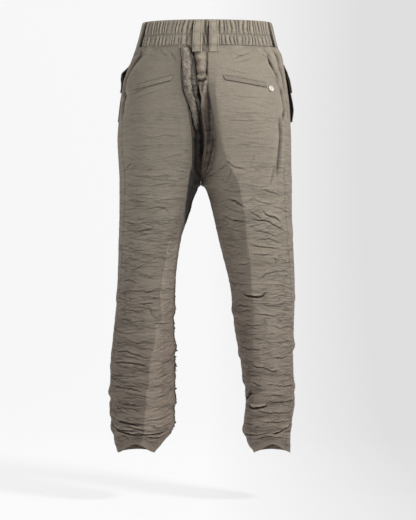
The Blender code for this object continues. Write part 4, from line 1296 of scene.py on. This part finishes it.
# ---------------------------------------------------------------- the waistband
# A doubled band: its back is drawn in by two channels of elastic into about forty uneven
# gathers, and its two front halves are plain.

BAND_SEAM = 17.0
GATHERS = 38
BAND_CLOTH = 2.2
BAND_DROPS = np.linspace(0, BAND_HEIGHT, 40)
SLITS = (20.5, 160.5)


def trunk(drop, bearing, out):
    """Points round the hips; the bearing runs from the left side (0) over the back (90)."""
    bearing = turned(np.asarray(bearing, float), 0)
    drop, bearing, out = np.broadcast_arrays(np.asarray(drop, float), bearing, out)
    left = plain_skin(LEFT, drop, np.clip(bearing, -90, 90), out)
    right = plain_skin(RIGHT, drop, turned(180, bearing), out)
    return np.where((np.abs(bearing) <= 90)[..., None], left, right)


def lay_on_trunk(drop, bearing, out):
    """Points round the hips, and the steps of 1 mm outwards from them."""
    points = trunk(drop, bearing, out)
    return points, trunk(drop, bearing, out + 1.0) - points


def gathers(seed, bearing):
    """Uneven gathers along the back of the band: round ridges and sharp valleys."""
    dice = np.random.default_rng(seed)
    widths = dice.uniform(0.55, 1.45, GATHERS)
    edges = np.concatenate([[0], np.cumsum(widths)]) / widths.sum()
    seen = 0.5 - 0.5 * np.cos(np.radians(bearing)) / math.cos(math.radians(BAND_SEAM))
    share = 0.4 * (bearing - BAND_SEAM) / (180 - 2 * BAND_SEAM) + 0.6 * seen
    i = np.clip(np.searchsorted(edges, share, side="right") - 1, 0, GATHERS - 1)
    phase = np.clip((share - edges[i]) / (edges[i + 1] - edges[i]), 0, 1)
    size = dice.uniform(0.4, 1.3, GATHERS)[i]
    return size * (1.9 * np.sin(np.pi * phase) ** 0.75 - 1.1)


def slit(drop, bearing):
    """1 in the two deep folds where the gathers end, which widen downwards, and 0 elsewhere."""
    from_fold = np.minimum(np.abs(bearing - SLITS[0]), np.abs(bearing - SLITS[1]))
    return bell(from_fold, 0.9 + 1.9 * drop / BAND_HEIGHT)


def gathered_band(drop, bearing):
    """The gathers of both channels, drawn flat by the stitching between them, and the slits."""
    lean = 1.3 * lattice(71, 3, 26, bearing / 360, drop / 60)
    upper = np.interp(drop, (0, 4, 14, 25, 31, 34), (0.55, 0.8, 1.0, 0.8, 0.25, 0.0))
    lower = np.interp(drop, (31, 35, 42, 49, 55), (0.0, 0.5, 1.0, 0.8, 0.45))
    height = 1.9 * upper * gathers(5, bearing + lean) + 1.6 * lower * gathers(6, bearing + lean)
    height -= 0.7 * bell(drop - 31.5, 1.2)
    height += 0.3 * lattice(72, 16, 160, bearing / 360, drop / 60)
    between_slits = fade(bearing - SLITS[0], 3.0) * fade(SLITS[1] - bearing, 3.0)
    return height * between_slits - 6.0 * slit(drop, bearing)


def plain_band(drop, bearing):
    """The front of the band, with slight waves and its ends standing over the back."""
    waves = 0.5 * lattice(74, 5, 40, bearing / 360, drop / 60)
    from_end = np.minimum(*(np.abs(turned(bearing, end)) for end in (BAND_SEAM, 180 - BAND_SEAM)))
    return waves + 1.6 * bell(from_end, 3.0)


def band(node, bearings, height, held):
    """A length of the band, with a rounded top edge and its bottom edge drawn into the seam."""
    drop, bearing = grid(BAND_DROPS, bearings)
    small = height(drop, bearing)
    edge_roll = -1.0 * ((1 - fade(drop, 2.6)) + (1 - fade(BAND_HEIGHT - drop, 2.6)))
    # Painted light and shade from the gathers, painted shade between the two back loops, and
    # painted shade in the back's two slits
    painted_shade_between_loops = np.exp(-(((bearing - 89.5) / 2.6) ** 4))
    shade = slit(drop, bearing) * (held == "gathered")
    cloth(
        f"{node}_cloth",
        lay_on_trunk(drop, bearing, small + edge_roll),
        np.radians(bearing) * 140,
        drop,
        thick=BAND_CLOTH,
        tone_and_painted_shading=painted_shading_of(small * 0.9) * (1 - 0.3 * painted_shade_between_loops) * (1 - shade),
    )


FRONT_GAP = math.degrees(SEAM_GAP / 2 / 98)
SIDE_GAP = math.degrees(SEAM_GAP / 137)
back_bearings = np.linspace(BAND_SEAM, 180 - BAND_SEAM, 640)
left_bearings = np.linspace(BAND_SEAM - SIDE_GAP, -90 + FRONT_GAP, 120)
right_bearings = np.linspace(180 - BAND_SEAM + SIDE_GAP, 270 - FRONT_GAP, 120)
band("waistband_back", back_bearings, gathered_band, "gathered")
band("waistband_front_left", left_bearings, plain_band, "hung")
band("waistband_front_right", right_bearings, plain_band, "hung")

# ---------------------------------------------------------------- the belt loops
# Doubled straps of the same cotton, edge-stitched, tacked down above and below the band.

LOOP_WIDTH = 20.5
LOOP_CLOTH = 1.8
LOOP_DRAWN_IN = 0.87  # how much narrower the worn loops are
LOOP_PATH = table("drop plain gathered", [
    (2, 0.6, 1.3),
    (9, 0.9, 2.0),
    (14, 3.6, 5.0),
    (33, 4.2, 5.6),
    (52, 3.6, 5.0),
    (60, 1.0, 1.4),
    (69, 0.6, 0.6),
])
LOOPS = table("where bearing kind", [
    ("back_left", 82.3, "gathered"),
    ("back_right", 95.5, "gathered"),
    ("front_left", -52.0, "plain"),
    ("front_right", 232.0, "plain"),
])
loop_runs = []
for k, (where, bearing, kind) in enumerate(LOOPS):
    half = LOOP_DRAWN_IN * float(seam_turn(LEFT, ORIGIN_DROP, bearing, LOOP_WIDTH / 2))
    drop, turn = grid(np.linspace(2, 69, 60), np.linspace(-1, 1, 16))
    off = np.abs(turn)
    wave = 0.35 * lattice(80 + k, 9, 3, 0.3 * turn, drop / 80)
    height = wave - (0.4 * bell(off - 0.72, 0.1) - 0.5 * fade(off - 0.86, 0.14))
    sway = 1 + 0.02 * lattice(90 + k, 7, 2, 0 * drop, drop / 80)
    out = along(LOOP_PATH, kind, drop) + LOOP_CLOTH
    cloth(
        f"belt_loop_{where}_cloth",
        lay_on_trunk(drop, bearing + half * turn * sway, out + height),
        turn * LOOP_WIDTH / 2,
        drop,
        thick=LOOP_CLOTH,
        # Painted paler than plain cloth, with painted shade in the grooves inside its edges and
        # painted highlights on its rolled edges
        tone_and_painted_shading=painted_shading_of(1.0 + 2 * height),
    )
    edges = [(np.linspace(4, 67, 50), turn) for turn in (-0.74, 0.74)]
    tacks = [(tack, np.linspace(-0.7, 0.7, 12)) for tack in (5.0, 64.5)]
    for drops, turns in edges + tacks:
        outs = along(LOOP_PATH, kind, drops) + LOOP_CLOTH
        loop_runs.append(lay_on_trunk(drops, bearing + half * turns, outs))
stitches("belt_loop_stitches", loop_runs)

# ---------------------------------------------------------------- the back pockets
# Two slanting welts of folded cotton over the pockets' mouths, stitched down round their edges.

WELT = "inner inner_drop outer outer_drop height"
LEFT_WELT, RIGHT_WELT = table(WELT, [(70, 126, 148, 144, 12), (41, 125, 131, 140, 10)])
WELT_CLOTH = 1.2
STITCHES_OFF_WELT = 2.2


def on_welt(leg, welt, share, below):
    """The drops and angles at shares along a welt, this far below its middle line."""
    middle = welt.inner_drop + (welt.outer_drop - welt.inner_drop) * share
    across = welt.inner + (welt.outer - welt.inner) * share
    return middle + below, angle_at(leg, middle, across), across


welt_runs = []
for leg, welt in ((LEFT, LEFT_WELT), (RIGHT, RIGHT_WELT)):
    rise, share = grid(np.linspace(-1, 1, 15), np.linspace(0, 1, 90))
    drop, angle, across = on_welt(leg, welt, share, rise * welt.height / 2)
    puff = 0.5 * np.cos(rise * math.pi / 2) ** 0.5
    crumple = 0.35 * lattice(leg.seed + 40, 4, 22, share, (rise + 1) / 2.2)
    cloth(
        f"welt_{leg.name}_cloth",
        lay(skin, leg, drop, angle, LAID_ON + WELT_CLOTH + puff + crumple),
        across,
        drop,
        thick=WELT_CLOTH,
        # Painted shade along the welt's upper and lower edges
        tone_and_painted_shading=np.clip(0.5 - 0.45 * np.abs(rise) ** 8, 0, 1),
    )
    beyond = welt.height / 2 + STITCHES_OFF_WELT
    for below in (-beyond, beyond):
        drops, angles, _ = on_welt(leg, welt, np.linspace(0, 1, 70), below)
        welt_runs.append(lay(skin, leg, drops, angles))
# The stitched corner below the right welt's snap
for start, end in (((158, 146), (183, 146)), ((183, 146), (175, 131))):
    drops, across = np.linspace(start, end, 20).T
    welt_runs.append(lay(skin, RIGHT, drops, angle_at(RIGHT, drops, across)))
stitches("welt_stitches", welt_runs)

# ---------------------------------------------------------------- the cargo pockets
# On the side of each hip towards the front: a cotton face and flap, standing off the leg on a
# fold of black twill that shows along the back edge.

POCKET = "top bottom back_angle front_angle gapes"
LEFT_GAPES = table("drop out", [(0, 9.5), (11, 7.4), (20, 4.2), (32, 2.2), (104, 2)])
RIGHT_GAPES = table("drop out", [(0, 2.6), (13, 5), (41, 6), (75, 8), (104, 3.5)])
LEFT_POCKET, RIGHT_POCKET = table(
    POCKET, [(112, 216, -6, -62, LEFT_GAPES), (112, 216, -3, -60, RIGHT_GAPES)]
)
FLAP_ABOVE, FLAP_BELOW = 21.0, 40.0
FLAP_INSET = 1.5  # degrees at each side
FLAP_CLEAR = 1.4  # between the face and the flap
STITCH_INSET = 2.5
POCKET_CLOTH = 1.4
BELLOWS_CLOTH = 0.8
BELLOWS_CLEAR = 0.65
HIP_RADIUS = 130

black_twill, twill_place = new_finish("black_twill", "UV")
twill = {"Vector": twill_place, "Scale": 700.0, "Distortion": 0.6, "Detail": 1.0}
diagonal = {"bands_direction": "DIAGONAL"}
lines = add_node(black_twill, "ShaderNodeTexWave", diagonal, twill).outputs["Fac"]
twill_tone = times(black_twill, linear("#100f0f"), lines, 0.7, 1.3)
dull = {"Normal": bump(black_twill, lines, 0.2, 0.6), "Specular IOR Level": 0.25}
surface(black_twill, 0.9, {"Base Color": twill_tone, **dull})


def pocket_out(pocket, down, share):
    """The clearance under the pocket's face; both shares run from the top back corner."""
    back = along(pocket.gapes, "out", down * (pocket.bottom - pocket.top))
    return 1.0 + (back - 1.0) * (1 - np.clip(share, 0, 1)) ** 0.8


def flap_out(pocket, drop, share):
    """How far out the flap is, which is sewn down above the pocket and hangs over its face."""
    below = np.clip((drop - pocket.top) / (pocket.bottom - pocket.top), 0, 1)
    sewn_down = LAID_ON + POCKET_CLOTH
    hanging = pocket_out(pocket, below, share) + 2 * POCKET_CLOTH + FLAP_CLEAR
    return sewn_down + (hanging - sewn_down) * fade(drop - pocket.top + FLAP_ABOVE, FLAP_ABOVE)


def crumpled(seed, rows, down, share, inner_down):
    """Crumples that die away towards a patch's edges."""
    rim = np.minimum(np.minimum(share, 1 - share) * 60, inner_down)
    return lattice(seed, rows, 22, share * 0.5, down * 0.99) * fade(rim, 5)


def patch(name, leg, drop, angle, out, small):
    """A face or a flap, over the leg's plain form."""
    cloth(
        f"{name}_{leg.name}_cloth",
        lay(plain_skin, leg, drop, angle, out),
        np.radians(angle) * HIP_RADIUS,
        drop,
        thick=POCKET_CLOTH,
        brown_and_painted_shade=0.3,
        # Painted light and shade from the crumples
        tone_and_painted_shading=painted_shading_of(0.7 * small),
    )


def bellows(leg, pocket):
    """The fold down the face's back edge and along its bottom, in one strip."""
    stops = np.concatenate([np.linspace(0, 1, 70), 1 + np.linspace(0, 1, 40)[1:-4]])
    stops, depth = grid(stops, np.linspace(0, 1, 9))
    down, share = np.minimum(stops, 1), np.clip(stops - 1, 0, 1)
    inset = 1.5 + 1.6 * np.sin(depth * math.pi)
    drop = pocket.top + (pocket.bottom - pocket.top) * down
    drop = np.minimum(drop, pocket.bottom - inset)
    wide = pocket.front_angle - pocket.back_angle
    back = pocket.back_angle - seam_turn(leg, drop, pocket.back_angle, inset)
    angle = np.minimum(pocket.back_angle + wide * share, back)
    reach = pocket_out(pocket, down, (angle - pocket.back_angle) / wide) - BELLOWS_CLEAR
    out = BELLOWS_CLEAR + (reach - BELLOWS_CLEAR) * depth
    points = plain_skin(leg, drop, angle, out)
    inwards = plain_skin(leg, drop, angle + 2, out) - points
    cloth(
        f"cargo_bellows_{leg.name}_cloth",
        (points, inwards),
        depth * 8,
        stops * 100,
        black_twill,
        BELLOWS_CLOTH,
    )


pocket_runs = []
for leg, pocket in ((LEFT, LEFT_POCKET), (RIGHT, RIGHT_POCKET)):
    wide = pocket.front_angle - pocket.back_angle
    down, share = grid(np.linspace(0, 1, 80), np.linspace(0, 1, 60))
    small = 0.7 * crumpled(leg.seed + 50, 15, down, share, (1 - down) * 80)
    drop = pocket.top + (pocket.bottom - pocket.top) * down
    out = pocket_out(pocket, down, share) + POCKET_CLOTH + small
    patch("cargo_face", leg, drop, pocket.back_angle + wide * share, out, small)

    top, bottom = pocket.top - FLAP_ABOVE, pocket.top + FLAP_BELOW
    small = 0.6 * crumpled(leg.seed + 55, 11, down, share, (1 - down) * 60)
    drop = top + (bottom - top) * down
    angle = pocket.back_angle + FLAP_INSET + (wide - 2 * FLAP_INSET) * share
    out = flap_out(pocket, drop, share) + np.abs(small)
    patch("cargo_flap", leg, drop, angle, out, small)
    bellows(leg, pocket)

    # Stitches down the flap's two sides and along its top and bottom
    line = np.linspace(0, 1, 60)
    top, bottom = top + STITCH_INSET, bottom - STITCH_INSET
    turn_in = 100 * STITCH_INSET / HIP_RADIUS * 0.57 - FLAP_INSET
    back_side, front_side = pocket.back_angle - turn_in, pocket.front_angle + turn_in
    drops = top + (bottom - top) * line
    for edge, share in ((back_side, 0.03), (front_side, 0.97)):
        outs = flap_out(pocket, drops, share)
        pocket_runs.append(lay(plain_skin, leg, drops, edge, outs))
    for edge in (top, bottom):
        angles, outs = pocket.back_angle + wide * line, flap_out(pocket, edge, line)
        pocket_runs.append(lay(plain_skin, leg, edge, angles, outs))
stitches("cargo_pocket_stitches", pocket_runs)

# ---------------------------------------------------------------- the fly
# A placket stitched down over the zip on the wearer's left, rounded at its lower end.

FLY_DROP, FLY_WIDTH = 215.0, 40.0
FLY_CLOTH = 1.2
FLY_OUT = LAID_ON + 1.4


def fly_width(share):
    """The placket's width at this share down it."""
    return FLY_WIDTH * np.sqrt(np.maximum(1 - share**4, 0.06))


down, over = grid(np.linspace(0, 1, 90), np.linspace(0, 1, 26))
drop = BAND_HEIGHT + 1 + (FLY_DROP - BAND_HEIGHT - 1) * down
across = along(DEPTHS, "rise_seam", drop) + 1 + (fly_width(down) - 1) * over
crumple = 0.35 * lattice(101, 30, 6, across / 200, drop / 260)
cloth(
    "fly_placket_cloth",
    lay(skin, LEFT, drop, -angle_at(LEFT, drop, across), FLY_OUT + crumple),
    across,
    drop,
    thick=FLY_CLOTH,
    # Painted light and shade from the crumples
    tone_and_painted_shading=painted_shading_of(2 * crumple),
)
fly_runs = []
line = np.linspace(0, 0.985, 90)
drops = BAND_HEIGHT + 3 + (FLY_DROP - BAND_HEIGHT - 6) * line
for inset in (3.0, 6.0):
    across = along(DEPTHS, "rise_seam", drops) + np.maximum(fly_width(line) - inset, 2.0)
    fly_runs.append(lay(skin, LEFT, drops, -angle_at(LEFT, drops, across), FLY_OUT))
stitches("fly_stitches", fly_runs)

# ---------------------------------------------------------------- snaps and the waist button
# Nickel-plated brass caps, turned with a rolled rim round a shallow dish, and a dished horn
# button on the waistband's front.

nickel, nickel_place = new_finish("brushed_nickel", "Object")
brushed = noise(nickel, nickel_place, 900.0, 3.0)
nickel_tone = times(nickel, linear("#cdc8be"), brushed, 0.92, 1.04)
nickel_roughness = ramp(nickel, brushed, 0.0, 1.0, 0.42, 0.6)
surface(nickel, nickel_roughness, {"Base Color": nickel_tone, "Metallic": 1.0})
horn, horn_place = new_finish("polished_horn", "Object")
horn_tone = times(horn, linear("#3c2f25"), noise(horn, horn_place, 180.0, 3.0), 0.55, 1.5)
surface(horn, 0.32, {"Base Color": horn_tone, "IOR": 1.54})


def facing(node):
    """Where a CAD disc sits, from its own mesh: its middle and the way that it faces."""
    points = np.array([v.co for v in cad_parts[node].data.vertices], float)
    middle = points.mean(0)
    normal = np.linalg.svd(points - middle)[2][2]
    if normal @ (middle - np.array([math.copysign(0.09, middle[0]), 0.0, middle[2]])) < 0:
        normal = -normal
    depth = (points - middle) @ normal
    return middle, normal, depth.min(), depth.max()


def turned_disc(node, radius, dish, finish):
    """A cap modelled on the world axes: a low cylinder with a rolled rim and a dished top."""
    middle, normal, low, high = facing(node)
    bpy.ops.object.select_all(action="DESELECT")
    bpy.ops.mesh.primitive_cylinder_add(
        vertices=40, radius=radius * MM, depth=high - low, location=(0, 0, 0)
    )
    cap = bpy.context.object
    cap.name = f"{node}_cap"
    bpy.ops.object.mode_set(mode="EDIT")
    bpy.ops.mesh.select_mode(type="FACE")
    bpy.ops.mesh.select_all(action="DESELECT")
    shaped = bmesh.from_edit_mesh(cap.data)
    for face in shaped.faces:
        face.select = face.normal.z > 0.9
    bmesh.update_edit_mesh(cap.data)
    for share, sunk in ((0.16, 0), (0.08, dish), (0.4, -0.6 * dish)):
        bpy.ops.mesh.inset(thickness=radius * share * MM, depth=-sunk * MM)
    bpy.ops.mesh.select_all(action="DESELECT")
    shaped = bmesh.from_edit_mesh(cap.data)
    for edge in shaped.edges:
        if len(edge.link_faces) == 2 and edge.calc_face_angle() > 0.5:
            edge.select = all(v.co.z > 0 for v in edge.verts)
    bmesh.update_edit_mesh(cap.data)
    bpy.ops.mesh.bevel(offset=0.35 * MM, segments=3, profile=0.5)
    bpy.ops.object.mode_set(mode="OBJECT")
    tilt = math.atan2(math.hypot(normal[0], normal[1]), normal[2])
    cap.rotation_euler = (0, tilt, math.atan2(normal[1], normal[0]))
    cap.location = middle + normal * (low + high) / 2
    bpy.ops.object.transform_apply(location=True, rotation=True, scale=True)
    cap.data.shade_smooth()
    cap.data.set_sharp_from_angle(angle=math.radians(40))
    cap.data.materials.append(finish)
    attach(cap, "root")
    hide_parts(node)


for node in ("welt_snap", "cargo_snap_left", "cargo_snap_right"):
    turned_disc(node, 6.4, 0.5, nickel)
turned_disc("waist_button", 8.5, 0.9, horn)

# ---------------------------------------------------------------- seams and raw edges
# Topstitching beside the side seams, and the left inseam's allowance, which was left raw and
# stands out of the lower leg as a dark ragged fringe.

seam_runs = []
for leg, end in ((LEFT, 120), (RIGHT, 216)):
    drops = np.linspace(60, end, 800)
    side = angle_at(leg, drops, along(leg.rings, "seam", drops))
    seam_runs.append(lay(skin, leg, drops, side + seam_turn(leg, drops, side, 3.0)))
stitches("side_seam_stitches", seam_runs)

FRINGE_START, FRINGE_END, FRINGE_STEP = 560.0, 905.0, 0.9
FRINGE_LAID = 7.0  # how far the allowance goes on under the free edge, on the back panel
FRINGE_CLOTH = 0.7
drop, laid_then_free = grid(
    np.arange(FRINGE_START, FRINGE_END, FRINGE_STEP), np.linspace(-1, 1, 11)
)
threads = lattice(122, 420, 3, 0 * drop, drop / 1000)
tufts = lattice(121, 45, 3, 0 * drop, drop / 1000)
reach = 1.2 + 0.6 * threads + 1.2 * np.maximum(tufts, 0)
reach = reach + 6.0 * np.maximum(threads * tufts - 0.2, 0)
reach = 0.3 + reach * fade(drop - FRINGE_START, 60) * fade(FRINGE_END - drop, 20)
outs = 0.6 + reach * np.maximum(laid_then_free, 0)
from_seam = 0.8 - FRINGE_LAID * np.minimum(laid_then_free, 0)
angle = 180.0 - seam_turn(LEFT, drop, 180.0, from_seam)
points = skin(LEFT, drop, angle, outs)
cloth(
    "left_inseam_fringe",
    (points, skin(LEFT, drop, angle - 2.0, outs + 1.0) - points),
    outs - from_seam,
    drop,
    thick=FRINGE_CLOTH,
    brown_and_painted_shade=0.6,
    tone_and_painted_shading=np.clip(0.2 + 0.4 * lattice(124, 420, 5, outs / 40, drop / 1000), 0.02, 1),
)
